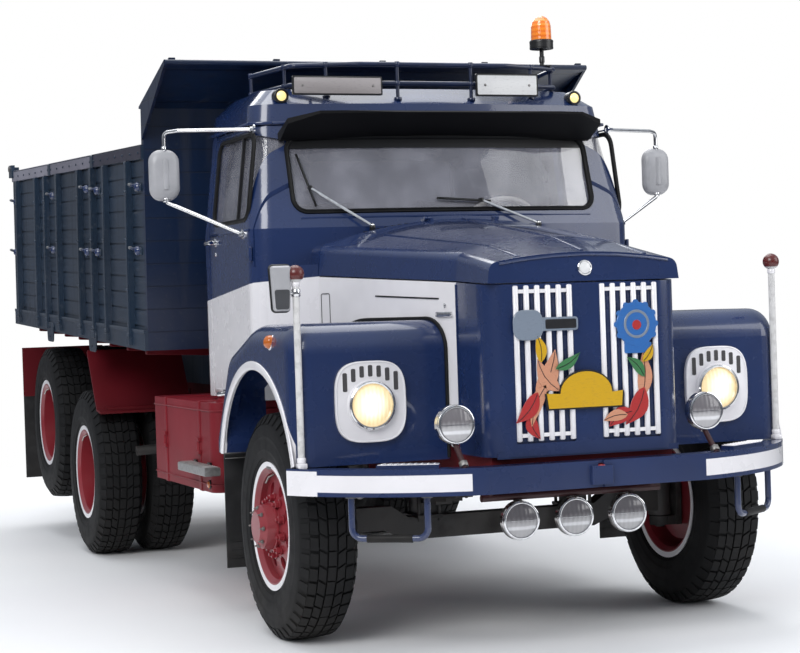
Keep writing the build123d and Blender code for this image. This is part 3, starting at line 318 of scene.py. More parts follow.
def iron(name, colour, rough=0.55):
    """Cast or forged part under thin paint and grime."""
    s = Shader(name)
    cast = s.noise(70, 5)
    grime = s.ramp(s.noise(6, 5), 0.42, 0.66)
    tone = s.mix(grime, shade(colour, 1.0), shade(colour, 0.45))
    tone, dust = dusted(s, tone, 0.15, 1.3)
    return s.surface(
        Base_Color=tone, Roughness=rough + 0.25 * grime + dust * 0.2,
        Normal=s.bump(cast, 0.35, 0.0015))


def rubber(name, colour=None, rough=0.62, low=0.0, high=1.2):
    s = Shader(name)
    colour = colour or tuple(paint_of().rubber)
    worn = s.ramp(s.noise(14, 5), 0.4, 0.75)
    tone = s.mix(worn, colour, shade(colour, 1.7))
    tone, _ = dusted(s, tone, low, high)
    fine = s.noise(320, 2)
    return s.surface(
        Base_Color=tone, Roughness=rough + 0.16 * worn, Specular_IOR_Level=0.22,
        Normal=s.bump(fine + worn * 0.6, 0.2, 0.0006))


def plastic(name, colour, rough=0.45, shine=0.5):
    s = Shader(name)
    grain = s.noise(220, 2)
    tone = s.mix(s.ramp(s.noise(8, 4), 0.35, 0.7), shade(colour, 0.9), shade(colour, 1.08))
    return s.surface(Base_Color=tone, Roughness=rough + 0.08 * grain, Specular_IOR_Level=shine,
                     Normal=s.bump(grain, 0.12, 0.0006))


def lens(name, colour, glow=None, strength=0.0, rib=0.0):
    """Moulded lamp lens, with upright flutes, and lit if it has a glow."""
    s = Shader(name)
    tone = s.mix(s.ramp(s.noise(25, 3), 0.35, 0.7), shade(colour, 0.88), shade(colour, 1.05))
    flutes = (s.x * rib).wave() if rib else s.noise(60, 2)
    sockets = dict(
        Base_Color=tone, Roughness=0.1 + 0.05 * s.noise(30, 2), Coat_Weight=0.6,
        Normal=s.bump(flutes, 0.45, 0.0012))
    if glow:
        sockets["Emission_Color"] = s.mix(s.ramp(flutes, -0.8, 0.8), shade(glow, 0.8), glow)
        sockets["Emission_Strength"] = strength
    return s.surface(**sockets)


def spot_glass(name):
    """Unlit spot lamp glass with upright flutes: grey above, and bright below as a painted reflection, with a
    painted highlight streak.
    """
    s = Shader(name)
    up = s.z - SPOT_LOW - (SPOT_HIGH - SPOT_LOW) * s.z.above((SPOT_HIGH + SPOT_LOW) / 2)
    flutes = (s.x * 300).wave()
    # painted reflection: the glass is made bright below the lamp's middle
    bright = s.ramp(up + flutes * 0.003 + s.noise(14, 3) * 0.02, 0.03, -0.012)
    # painted highlight: a pale streak just below the lamp's middle
    painted_highlight = s.ramp(abs(up + 0.026 + s.noise(9, 2) * 0.012), 0.012, 0.003)
    tone = s.mix(bright, (0.165, 0.155, 0.165, 1), (0.5, 0.49, 0.5, 1))
    tone = s.mix(painted_highlight * 0.8, tone, (0.9, 0.9, 0.92, 1))
    return s.surface(Base_Color=tone, Roughness=0.1 + 0.04 * bright, Coat_Weight=0.6,
                     Normal=s.bump(flutes, 0.45, 0.0012))


def headlamp_glow(name, lit):
    """Round lamp glass: bright in the middle, warmer to its edge, with upright flutes."""
    s = Shader(name)
    across = abs(s.x) - HEADLAMP[0]
    up = s.z - (HEADLAMP[2] + LENS_UP)
    reach = (across * across + up * up).root()
    flutes = (s.x * 330).wave()
    fade = s.ramp(reach + flutes * 0.004, 0.088, 0.03)
    glow = s.mix(fade, (0.62, 0.4, 0.1, 1), (1.0, 0.9, 0.5, 1))
    return s.surface(
        Base_Color=s.mix(fade, (0.7, 0.66, 0.52, 1), (0.9, 0.88, 0.75, 1)), Roughness=0.08 + 0.04 * fade,
        Coat_Weight=0.8, Emission_Color=glow, Emission_Strength=lit, Normal=s.bump(flutes, 0.5, 0.0012))


def window(name, tint, alpha):
    """Old flat glass with a little haze; what lies behind it shows through."""
    s = Shader(name)
    haze = s.ramp(s.noise(5, 5), 0.35, 0.75)
    tone = s.mix(haze, shade(tint, 0.8), tint)
    return s.surface(
        Base_Color=tone, Roughness=0.03 + 0.05 * haze, Alpha=alpha + 0.1 * haze,
        Specular_IOR_Level=0.9, Coat_Weight=1.0, Coat_Roughness=0.02)


def cloth(name, colour):
    """Woven seat cover, in fine ribs, a little worn where people sit."""
    s = Shader(name)
    ribs = (s.x * 900).wave() * 0.5 + (s.y * 700).wave() * 0.25 + (s.z * 700).wave() * 0.25
    worn = s.ramp(s.noise(9, 4), 0.4, 0.7)
    tone = s.mix(worn, colour, shade(colour, 1.35))
    tone = s.mix(s.ramp(ribs, -0.6, 0.9) * 0.35, tone, shade(colour, 0.5))
    return s.surface(
        Base_Color=tone, Roughness=0.85 - 0.1 * worn, Sheen_Weight=0.35, Normal=s.bump(ribs, 0.4, 0.0007))


def plate_face(name, colour):
    """Bare pressed plate, with faint scuffs."""
    s = Shader(name)
    scuff = s.ramp(s.noise(45, 5, (1, 1, 3)), 0.52, 0.72)
    tone = s.mix(scuff * 0.35, colour, shade(colour, 0.62))
    return s.surface(Base_Color=tone, Roughness=0.28 + 0.3 * scuff, Coat_Weight=0.3,
                     Normal=s.bump(scuff, 0.15, 0.0006))


def body_sheet(name, tint=(1.35, 1.1, 0.55), factor=1.0, planks=0.0):
    """Tipping body: the same blue, duller, with scuffs, run marks and joints between boards."""
    s = Shader(name)
    blue = tuple(paint_of().body)
    # a factor below 1 darkens the whole finish as painted shade
    base = tuple(part * share * factor for part, share in zip(blue, tint)) + (1,)
    flow = s.ramp(s.noise(1.6, 5, (1, 0.35, 1)), 0.35, 0.68)
    tone = s.mix(flow, shade(base, 0.8), shade(base, 1.12))
    runs = s.ramp(s.noise(11, 5, (1, 1, 0.07)), 0.5, 0.72)
    tone = s.mix(runs * 0.3, tone, (0.045 * factor, 0.052 * factor, 0.075 * factor, 1))
    scratch = s.ramp(s.noise(34, 6, (1, 0.1, 1)), 0.6, 0.72)
    tone = s.mix(scratch * 0.22, tone, (0.12 * factor, 0.125 * factor, 0.14 * factor, 1))
    tone, _ = dusted(s, tone, 1.0, 2.3)
    rough = 0.36 + 0.14 * runs + 0.15 * scratch
    height = s.noise(2.4, 3) * 8.0 + s.noise(120, 3) * 0.5
    if planks:
        joint = (s.z * (math.tau / planks)).wave().above(0.985, 0.008)
        tone = s.mix(joint * 0.6, tone, shade(base, 0.3))
        height = height - joint * 4.0
    return s.surface(Base_Color=tone, Roughness=rough, Coat_Weight=0.18, Coat_Roughness=0.2,
                     Normal=s.bump(height, 0.35, 0.0012))


def load_sheet(name):
    """Inside of the load space and the floor: scoured steel under thin paint."""
    s = Shader(name)
    scrape = s.ramp(s.noise(26, 7, (1, 0.05, 1)), 0.38, 0.78)
    tone = s.mix(scrape, (0.05, 0.055, 0.075, 1), (0.15, 0.145, 0.14, 1))
    return s.surface(Base_Color=tone, Metallic=0.35 * scrape, Roughness=0.42 + 0.2 * s.noise(20, 4),
                     Normal=s.bump(scrape, 0.3, 0.0012))


def marker_pole(name):
    """Pale pole with a dull red ball on its top."""
    s = Shader(name)
    ball = s.z.above(1.632)
    worn = s.ramp(s.noise(30, 4), 0.45, 0.7)
    pole = s.mix(worn, (0.7, 0.69, 0.68, 1), (0.55, 0.54, 0.53, 1))
    tone = s.mix(ball, pole, (0.105, 0.014, 0.012, 1))
    return s.surface(Base_Color=tone, Roughness=0.3 + 0.15 * worn, Coat_Weight=0.3)


def beacon_skin(name):
    """Amber dome on a black foot."""
    s = Shader(name)
    dome = s.z.above(2.873, 0.001)
    swirl = s.ramp((s.z * 260).wave(), -0.9, 0.9)
    amber = s.mix(swirl, (0.8, 0.17, 0.01, 1), (0.95, 0.27, 0.02, 1))
    tone = s.mix(dome, (0.014, 0.014, 0.015, 1), amber)
    glow = s.mix(dome, (0, 0, 0, 1), s.mix(s.ramp(s.z, 2.87, 2.96), (0.3, 0.04, 0, 1), (0.75, 0.2, 0.02, 1)))
    return s.surface(Base_Color=tone, Roughness=0.16 + 0.2 * (1 - dome), Coat_Weight=dome,
                     Emission_Color=glow, Emission_Strength=0.35, Normal=s.bump(swirl * dome, 0.3, 0.001))


def lamp_case(name):
    """Bright lamp shells on dark stalks and a dark bar."""
    s = Shader(name)
    stalk = (s.z.below(0.915) * s.y.below(-0.86)).most(s.z.above(0.643) * s.z.below(0.74) * s.y.above(-0.86))
    spots = s.noise(60, 3)
    tone = s.mix(stalk, s.mix(spots, (0.64, 0.63, 0.62, 1), (0.82, 0.81, 0.8, 1)), (0.035, 0.008, 0.01, 1))
    return s.surface(Base_Color=tone, Metallic=1 - stalk, Roughness=0.14 + 0.3 * stalk + 0.06 * spots,
                     Normal=s.bump(spots, 0.08, 0.0006))


def rack_skin(name):
    """Roof rack: blue bars, black lamp bodies and bare plates."""
    s = Shader(name)
    blue = tuple(paint_of().body)
    plate = s.y.below(0.6305, 0.0006) * s.z.below(2.68)
    cans = s.z.below(2.602) * abs(s.x).above(0.762)
    tone = s.mix(s.ramp(s.noise(6, 4), 0.35, 0.7), shade(blue, 0.45), shade(blue, 0.7))
    tone = s.mix(plate, tone, (0.012, 0.012, 0.014, 1))
    tone = s.mix(cans, tone, (0.02, 0.02, 0.021, 1))
    return s.surface(Base_Color=tone, Roughness=0.3 + 0.1 * s.noise(20, 3), Coat_Weight=0.4)


def radiator_core(name):
    s = Shader(name)
    fins = (s.z * 900).wave() * 0.5 + (s.x * 330).wave()
    tone = s.mix(s.ramp(fins, -0.9, 1.1), (0.006, 0.006, 0.007, 1), (0.03, 0.03, 0.03, 1))
    return s.surface(Base_Color=tone, Roughness=0.55 + 0.1 * s.noise(30, 3), Normal=s.bump(fins, 0.6, 0.003))


def tail_lens(name):
    """Tail lamp: red, with an amber outer third."""
    s = Shader(name)
    outer = abs(s.x).above(0.955, 0.001)
    flutes = (s.x * 420).wave()
    tone = s.mix(outer, (0.42, 0.012, 0.01, 1), (0.75, 0.22, 0.015, 1))
    tone = s.mix(s.ramp(flutes, -1, 1) * 0.25, tone, (0.12, 0.01, 0.01, 1))
    return s.surface(Base_Color=tone, Roughness=0.14 + 0.05 * s.noise(20, 2), Coat_Weight=0.7,
                     Normal=s.bump(flutes, 0.5, 0.0015))


def ground(name):
    """Pale studio floor: plain white to the camera but for the truck's own shadow."""
    s = Shader(name)
    cloud = s.noise(0.35, 3)
    tone = s.mix(s.ramp(cloud, 0.3, 0.7), (0.86, 0.86, 0.87, 1), (0.9, 0.9, 0.9, 1))
    along = (s.y - 1.4) * 0.8
    near = s.ramp((s.x * s.x + along * along).root(), 8.5, 4.0)
    return s.surface(Base_Color=tone, Roughness=0.75 + 0.1 * cloud, Specular_IOR_Level=0.2, Alpha=near)


def recipes():
    """Every finish by its name."""
    p = paint_of()
    blue, white, red = tuple(p.body), tuple(p.band), tuple(p.gear)
    return {
        "blue": lambda: paint("body_blue_paint", blue),
        "cab": lambda: paint("cab_two_tone_paint", blue, white, cab_band),
        "white": lambda: paint("pale_paint", white, gloss=0.28),
        "bumper": lambda: paint("bumper_paint", blue, white, bumper_band),
        "fender": lambda: paint("wing_paint", blue, white, fender_band),
        "red": lambda: paint("frame_red_paint", shade(red, 0.5), gloss=0.45, coat=0.0, shine=0.2),
        "tank": lambda: paint("tank_red_paint", shade(red, 0.86), gloss=0.42, coat=0.0, shine=0.25),
        "rim_front": lambda: paint("front_wheel_paint", red, white, wheel_ring(0.0, HUB_Z), 0.33, 0.35),
        "rim_drive": lambda: paint("drive_wheel_paint", red, white, wheel_ring(DRIVE_Y, HUB_Z), 0.33, 0.35),
        "rim_tag": lambda: paint("tag_wheel_paint", red, white, wheel_ring(TAG_Y, TAG_Z), 0.33, 0.35),
        "chrome": lambda: metal("polished_chrome", (0.8, 0.8, 0.81, 1), 0.07, 0.08, 60),
        "satin": lambda: metal("dull_bright_metal", (0.55, 0.55, 0.54, 1), 0.32, 0.15, 50, dust=True),
        "steel": lambda: metal("worn_steel", (0.32, 0.31, 0.3, 1), 0.42, 0.2, 35, dust=True),
        "ram": lambda: metal("ram_chrome", (0.66, 0.66, 0.67, 1), 0.12, 0.1, 60, (1, 6, 1)),
        "lamp_case": lambda: lamp_case("lamp_shell_chrome"),
        "axle": lambda: iron("axle_grey", (0.03, 0.028, 0.028, 1)),
        "spring": lambda: iron("spring_black", (0.022, 0.02, 0.02, 1), 0.5),
        "engine": lambda: iron("engine_grey", (0.075, 0.078, 0.075, 1)),
        "grey": lambda: iron("box_grey", (0.085, 0.088, 0.092, 1), 0.45),
        "tyre": lambda: rubber("tyre_rubber", low=-0.4, high=0.7),
        "rubber": lambda: rubber("seal_rubber", rough=0.5),
        "flap": lambda: rubber("flap_rubber", (0.018, 0.018, 0.019, 1), 0.6),
        "visor": lambda: plastic("visor_black", (0.004, 0.004, 0.005, 1), 0.55, shine=0.18),
        "black": lambda: plastic("black_enamel", (0.012, 0.012, 0.013, 1), 0.28),
        "trim": lambda: plastic("cab_trim_grey", (0.05, 0.052, 0.058, 1), 0.6),
        "wheel_grip": lambda: plastic("steering_grip", (0.82, 0.8, 0.77, 1), 0.3),
        "mat": lambda: rubber("floor_mat", (0.02, 0.02, 0.021, 1), 0.8),
        "mirror_back": lambda: plastic("mirror_shell", (0.42, 0.42, 0.44, 1), 0.3),
        "mirror": lambda: metal("mirror_silver", (0.86, 0.88, 0.9, 1), 0.02, 0.01, 20),
        "amber": lambda: lens("amber_lens", (0.55, 0.13, 0.01, 1), rib=420),
        "clear": lambda: spot_glass("spot_lamp_glass"),
        "roof_lit": lambda: lens("roof_lamp_lens", (0.9, 0.75, 0.35, 1), (1.0, 0.78, 0.3, 1), 0.9),
        "slit": lambda: plastic("slit_grey", (0.055, 0.052, 0.055, 1), 0.5),
        "head_glass": lambda: headlamp_glow("headlamp_glass", 0.85),
        "glass": lambda: window("window_glass", (0.52, 0.52, 0.6, 1), 0.24),
        "seat": lambda: cloth("seat_weave", (0.06, 0.05, 0.045, 1)),
        "plate_black": lambda: plate_face("plate_black", (0.016, 0.016, 0.018, 1)),
        "plate_white": lambda: plate_face("plate_white", (0.8, 0.8, 0.8, 1)),
        "plate_grey": lambda: plate_face("plate_grey", (0.36, 0.33, 0.33, 1)),
        "yellow": lambda: plate_face("plaque_yellow", (0.62, 0.36, 0.012, 1)),
        "badge_blue": lambda: plate_face("badge_blue", (0.03, 0.14, 0.42, 1)),
        "badge_grey": lambda: plate_face("badge_grey", (0.2, 0.24, 0.3, 1)),
        "peach": lambda: plate_face("cutout_peach", (0.6, 0.28, 0.17, 1)),
        "scarlet": lambda: plate_face("cutout_red", (0.42, 0.03, 0.03, 1)),
        "leaf": lambda: plate_face("cutout_green", (0.05, 0.19, 0.07, 1)),
        "body": lambda: body_sheet("tipping_body_paint"),
        # The headboard takes the body's blue at 0.55, darker as painted shade, with its own tint and board
        # joints.
        "headboard": lambda: body_sheet("headboard_paint", (0.75, 1.0, 0.85), 0.55, 0.125),
        # The three top boards share one paint: lightest at the rear as painted light, darkest at the front as
        # painted shade.
        "board_rear_painted_light": lambda: paint("rear_board_paint", (0.3, 0.292, 0.35, 1), gloss=0.4, coat=0.1),
        "board_mid_painted_light": lambda: paint("middle_board_paint", (0.185, 0.178, 0.222, 1), gloss=0.4, coat=0.1),
        "board_front_painted_shade": lambda: paint("front_board_paint", (0.028, 0.026, 0.046, 1), gloss=0.4, coat=0.1),
        "load": lambda: load_sheet("load_space_steel"),
        "pole": lambda: marker_pole("marker_pole_paint"),
        "beacon": lambda: beacon_skin("beacon_amber"),
        "rack": lambda: rack_skin("roof_rack_paint"),
        "rack_blue": lambda: paint("rack_blue_paint", shade(blue, 0.6), coat=0.4),
        "radiator": lambda: radiator_core("radiator_core"),
        "tail": lambda: tail_lens("tail_lamp_lens"),
        "ground": lambda: ground("studio_floor"),
    }


def finish(name):
    """The material of that name, made once."""
    if name not in MADE:
        MADE[name] = recipes()[name]()
    return MADE[name]


# ---------------------------------------------------------------- mesh making
def rounded(corners, radius, steps=4):
    """Outline with its corners rounded, from (a, b) or (a, b, radius) corners."""
    made = []
    count = len(corners)
    for i, corner in enumerate(corners):
        here = Vector(corner[:2])
        before = Vector(corners[i - 1][:2]) - here
        after = Vector(corners[(i + 1) % count][:2]) - here
        size = corner[2] if len(corner) == 3 else radius
        if size <= 0:
            made.append(tuple(here))
            continue
        half = before.angle(after) / 2
        reach = min(size / math.tan(half), before.length * 0.49, after.length * 0.49)
        size = reach * math.tan(half)
        centre = here + (before.normalized() + after.normalized()).normalized() * (size / math.sin(half))
        first = here + before.normalized() * reach - centre
        last = here + after.normalized() * reach - centre
        turn = first.angle_signed(last)
        for k in range(steps + 1):
            angle = -turn * k / steps
            c, s = math.cos(angle), math.sin(angle)
            made.append((centre.x + first.x * c - first.y * s, centre.y + first.x * s + first.y * c))
    return made


def rect(a0, a1, b0, b1, radius=0.0, steps=4):
    return rounded([(a0, b0), (a1, b0), (a1, b1), (a0, b1)], radius, steps)


def circle(a, b, radius, steps=24):
    return [(a + radius * math.cos(math.tau * k / steps), b + radius * math.sin(math.tau * k / steps))
            for k in range(steps)]


def placed(outline, x, z, turn=0.0):
    """Outline turned, then moved."""
    c, s = math.cos(turn), math.sin(turn)
    return [(x + a * c - b * s, z + a * s + b * c) for a, b in outline]


def upright(outline, y, x=0.0, z=0.0):
    """Outline as points in a plane across the truck."""
    return [(x + a, y, z + b) for a, b in outline]


def strip(half, low, high, ease=0.0):
    """Section of a flat strip, as wide to both sides."""
    return rect(-half, half, low, high, ease, 2)


def flared(foot, top, low, high, corner):
    """Outline that is wider or narrower above than below."""
    return rounded([(-foot, low), (foot, low), (top, high), (-top, high)], corner)


def walls(rings, size, closed=False):
    """Faces between rings of points, each ring and the next."""
    faces = []
    for r in range(rings if closed else rings - 1):
        n = (r + 1) % rings
        for i in range(size):
            j = (i + 1) % size
            faces.append([r * size + i, r * size + j, n * size + j, n * size + i])
    return faces


def lids(rings, size):
    """The two end faces of a run of rings."""
    return [list(range(size)), list(range((rings - 1) * size, rings * size))]


def hoop(half, inner, outer):
    """Section of a flat band round a drum."""
    return [(-half, inner), (half, inner), (half, outer), (-half, outer)]


def cap(radius, height, ease=0.001, crown=0.001):
    """Profile of a button or a bolt's head, with an eased edge."""
    return [(0, radius), (height, radius - ease), (height + crown, 0)]


class Form:
    """A piece's mesh, gathered shape by shape, in metres from the front axle."""

    def __init__(self, lines=None):
        self.points, self.faces, self.face_finish, self.finishes = [], [], [], []
        self.lines = lines

    def take(self, points, faces, finish_name):
        start = len(self.points)
        if finish_name not in self.finishes:
            self.finishes.append(finish_name)
        index = self.finishes.index(finish_name)
        for p in points:
            self.points.append(self.lines @ Vector(p) if self.lines else Vector(p))
        for face in faces:
            self.faces.append([start + i for i in face])
            self.face_finish.append(index)

    def prism(self, outline, axis, low, high, finish_name, edge=0.0):
        """Outline between two planes across an axis, with its end edges eased."""
        low, high = sorted((low, high))
        def spot(a, b, c):
            return {"x": (c, a, b), "y": (a, c, b), "z": (a, b, c)}[axis]
        rings = [(low, 0.0), (high, 0.0)]
        if edge:
            rings = [(low, edge), (low + edge, 0.0), (high - edge, 0.0), (high, edge)]
        count = len(outline)
        points = []
        for level, inset in rings:
            for i, (a, b) in enumerate(outline):
                if inset:
                    p, q = Vector(outline[i - 1]), Vector(outline[(i + 1) % count])
                    along = (q - p).normalized()
                    area = sum(outline[k - 1][0] * outline[k][1] - outline[k][0] * outline[k - 1][1]
                               for k in range(count))
                    inward = Vector((-along.y, along.x)) * (1 if area > 0 else -1)
                    a, b = a + inward.x * inset, b + inward.y * inset
                points.append(spot(a, b, level))
        self.take(points, lids(len(rings), count) + walls(len(rings), count), finish_name)

    def box(self, xs, ys, zs, finish_name, edge=0.0):
        (x0, x1), (y0, y1), (z0, z1) = sorted(xs), sorted(ys), sorted(zs)
        self.prism(rect(y0, y1, z0, z1), "x", x0, x1, finish_name, edge)

    def lathe(self, centre, axis, profile, finish_name, steps=32, ring=False):
        """Solid turned about an axis through the centre; profile is (along, radius)."""
        toward = Vector(axis).normalized()
        side = toward.orthogonal().normalized()
        if abs(toward.x) > 0.99:
            side = Vector(UP)
        other = toward.cross(side)
        middle = Vector(centre)
        points, rows = [], []
        for along, radius in profile:
            if radius < 1e-6:
                rows.append([len(points)])
                points.append(middle + toward * along)
                continue
            rows.append(list(range(len(points), len(points) + steps)))
            for k in range(steps):
                turn = math.tau * k / steps
                out = side * math.cos(turn) + other * math.sin(turn)
                points.append(middle + toward * along + out * radius)
        faces = []
        pairs = list(zip(rows, rows[1:])) + ([(rows[-1], rows[0])] if ring else [])
        for first, second in pairs:
            if len(first) == 1 and len(second) == 1:
                continue
            for k in range(steps):
                n = (k + 1) % steps
                if len(first) == 1:
                    faces.append([first[0], second[k], second[n]])
                elif len(second) == 1:
                    faces.append([first[k], first[n], second[0]])
                else:
                    faces.append([first[k], first[n], second[n], second[k]])
        if not ring:
            for row in (rows[0], rows[-1]):
                if len(row) > 1:
                    faces.append(row)
        self.take(points, faces, finish_name)

    def rod(self, start, end, radius, finish_name, steps=12, edge=0.0):
        run = Vector(end) - Vector(start)
        profile = [(0, radius), (run.length, radius)]
        if edge:
            profile = [(0, radius - edge), (edge, radius), (run.length - edge, radius),
                       (run.length, radius - edge)]
        self.lathe(start, run, profile, finish_name, steps)

    def sweep(self, path, section, finish_name, closed=False, up=UP):
        """Section (sideways, upwards) drawn along a path that keeps its up direction."""
        path = [Vector(p) for p in path]
        count = len(path)
        points = []
        for i, here in enumerate(path):
            before = path[i - 1] if i or closed else here
            after = path[(i + 1) % count] if i < count - 1 or closed else here
            into = (here - before).normalized() if (here - before).length else (after - here).normalized()
            out = (after - here).normalized() if (after - here).length else into
            along = (into + out).normalized()
            wanted = Vector(up(here) if callable(up) else up)
            side = along.cross(wanted).normalized()
            lift = side.cross(along).normalized()
            widen = 1 / max(0.5, math.cos(into.angle(out) / 2)) if into.length and out.length else 1
            turn_side = 1.0
            if into.angle(out, 0) > 1e-4:
                bend = (out - into).normalized()
                turn_side = 1 + (widen - 1) * abs(bend.dot(side))
            for a, b in section:
                points.append(here + side * a * turn_side + lift * b)
        size = len(section)
        faces = walls(count, size, closed) + ([] if closed else lids(count, size))
        self.take(points, faces, finish_name)

    def tube(self, path, radius, finish_name, bend=0.0, sides=10, up=None):
        """Round bar along points, its corners bent to a radius."""
        path = [Vector(p) for p in path]
        if bend:
            path = bent(path, bend)
        if up is None:
            span = path[-1] - path[0]
            up = UP
            if any(abs((b - a).normalized().z) > 0.97 for a, b in zip(path, path[1:])):
                up = LEFT if abs(span.y) > abs(span.x) else REAR
        self.sweep(path, circle(0, 0, radius, sides), finish_name, up=up)

    def take_mesh(self, mesh, offset=(0, 0, 0)):
        """Everything in a mesh, moved by an offset, with its own finishes kept."""
        shift = Vector(offset)
        points = [v.co + shift for v in mesh.vertices]
        by_finish = {}
        for polygon in mesh.polygons:
            by_finish.setdefault(polygon.material_index, []).append(list(polygon.vertices))
        for index, faces in by_finish.items():
            named = mesh.materials[index].name if len(mesh.materials) else ""
            used = sorted({i for face in faces for i in face})
            number = {old: new for new, old in enumerate(used)}
            key = next((k for k, m in MADE.items() if m.name == named), "steel")
            self.take([points[i] for i in used], [[number[i] for i in face] for face in faces], key)

    def mesh(self, name):
        made = bpy.data.meshes.new(name)
        made.from_pydata([tuple(p + Vector((0, FRONT, 0))) for p in self.points], [], self.faces)
        for key in self.finishes:
            made.materials.append(finish(key))
        for polygon, index in zip(made.polygons, self.face_finish):
            polygon.material_index = index
        work = bmesh.new()
        work.from_mesh(made)
        bmesh.ops.remove_doubles(work, verts=work.verts, dist=1e-6)
        bmesh.ops.recalc_face_normals(work, faces=work.faces)
        work.to_mesh(made)
        work.free()
        return made

    def piece(self, name, body, slot=None, bevel=0.0, replaces=(), angle=38):
        """Hand over the gathered shapes as one piece that rides on a body."""
        made = self.mesh(name)
        piece = bpy.data.objects.new(name, made)
        bpy.context.scene.collection.objects.link(piece)
        if bevel:
            ease = piece.modifiers.new("Edges", "BEVEL")
            ease.width = bevel
            ease.segments = 2
            ease.limit_method = "ANGLE"
            ease.angle_limit = math.radians(50)
            eased = evaluated(piece)
            piece.modifiers.clear()
            piece.data = eased
        piece.data.polygons.foreach_set("use_smooth", [True] * len(piece.data.polygons))
        piece.data.set_sharp_from_angle(angle=math.radians(angle))
        if replaces:
            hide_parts(*replaces)
        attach(piece, body)
        return piece


def evaluated(piece):
    """Plain mesh of an object with its modifiers carried out."""
    graph = bpy.context.evaluated_depsgraph_get()
    return bpy.data.meshes.new_from_object(piece.evaluated_get(graph), depsgraph=graph)


def bent(path, radius):
    """Path whose corners are rounded to a radius."""
    steps = 5
    made = [path[0]]
    for before, here, after in zip(path, path[1:], path[2:]):
        a, b = (before - here), (after - here)
        half = a.angle(b) / 2
        reach = min(radius / math.tan(half), a.length * 0.48, b.length * 0.48)
        first, last = here + a.normalized() * reach, here + b.normalized() * reach
        for k in range(steps + 1):
            t = k / steps
            made.append(first * (1 - t) ** 2 + here * 2 * t * (1 - t) + last * t * t)
    made.append(path[-1])
    return made


def repeat_tree(name, ring):
    """Node tree that copies the incoming shape round the X axis, or along a step."""
    tree = bpy.data.node_groups.new(name, "GeometryNodeTree")
    for label, kind in (("Shape", "Geometry"), ("Count", "Int"), ("Step", "Vector"), ("Finish", "Material")):
        tree.interface.new_socket(label, in_out="INPUT", socket_type="NodeSocket" + kind)
    tree.interface.new_socket("Copies", in_out="OUTPUT", socket_type="NodeSocketGeometry")
    nodes = tree.nodes
    given = nodes.new("NodeGroupInput")
    line = nodes.new("GeometryNodeMeshLine")
    copies = nodes.new("GeometryNodeInstanceOnPoints")
    real = nodes.new("GeometryNodeRealizeInstances")
    coat = nodes.new("GeometryNodeSetMaterial")
    result = nodes.new("NodeGroupOutput")
    wires = [(given, "Count", line, "Count"), (line, "Mesh", copies, "Points"),
             (given, "Shape", copies, "Instance"), (copies, "Instances", real, "Geometry"),
             (real, "Geometry", coat, "Geometry"), (given, "Finish", coat, "Material"),
             (coat, "Geometry", result, "Copies")]
    if ring:
        line.inputs["Offset"].default_value = (0, 0, 0)
        index = nodes.new("GeometryNodeInputIndex")
        turn = nodes.new("ShaderNodeVectorMath")
        turn.operation = "SCALE"
        wires += [(given, "Step", turn, 0), (index, 0, turn, "Scale"), (turn, 0, copies, "Rotation")]
    else:
        wires.append((given, "Step", line, "Offset"))
    for source, leaving, target, entering in wires:
        tree.links.new(source.outputs[leaving], target.inputs[entering])
    return tree


def repeated(shape, count, step, ring=False):
    """Plain mesh of a one-finish shape, copied by the ring or the row tree."""
    kind = "Ring of copies" if ring else "Row of copies"
    tree = bpy.data.node_groups.get(kind) or repeat_tree(kind, ring)
    base = shape.mesh("repeat_base")
    base.transform(Matrix.Translation((0, -FRONT, 0)))
    holder = bpy.data.objects.new("repeat_holder", base)
    bpy.context.scene.collection.objects.link(holder)
    maker = holder.modifiers.new("Copies", "NODES")
    maker.node_group = tree
    wanted = {"Count": count, "Step": tuple(step), "Finish": finish(shape.finishes[0])}
    for item in tree.interface.items_tree:
        if item.in_out == "INPUT" and item.name in wanted:
            maker[item.identifier] = wanted[item.name]
    made = evaluated(holder)
    bpy.data.objects.remove(holder)
    return made


def ring_of(shape, count):
    return repeated(shape, count, (math.tau / count, 0, 0), ring=True)


def dress(nodes, finish_name):
    """Give CAD nodes that stay in view a better finish."""
    for node in nodes.split():
        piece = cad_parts[node]
        if not piece.material_slots:
            piece.data.materials.append(finish(finish_name))
        for place in piece.material_slots:
            place.material = finish(finish_name)


def sizes():
    return bpy.context.scene.truck_sizes


# ---------------------------------------------------------------- wheels
CROWN_DROP = 0.008
CROWN_HALF = 0.104
TYRE_R = 0.52
SIDEWALL = ((0.105, 0.2585), (0.112, 0.2905), (0.124, 0.2975), (0.1305, 0.312), (0.1335, 0.3125),
            (0.137, 0.33), (0.138, 0.345), (0.1393, 0.347), (0.1396, 0.352), (0.14, 0.39), (0.1385, 0.405),
            (0.1392, 0.408), (0.1388, 0.412), (0.1372, 0.425), (0.1345, 0.448), (0.131, 0.463))


def crown(x):
    return TYRE_R - CROWN_DROP * (x / CROWN_HALF) ** 2


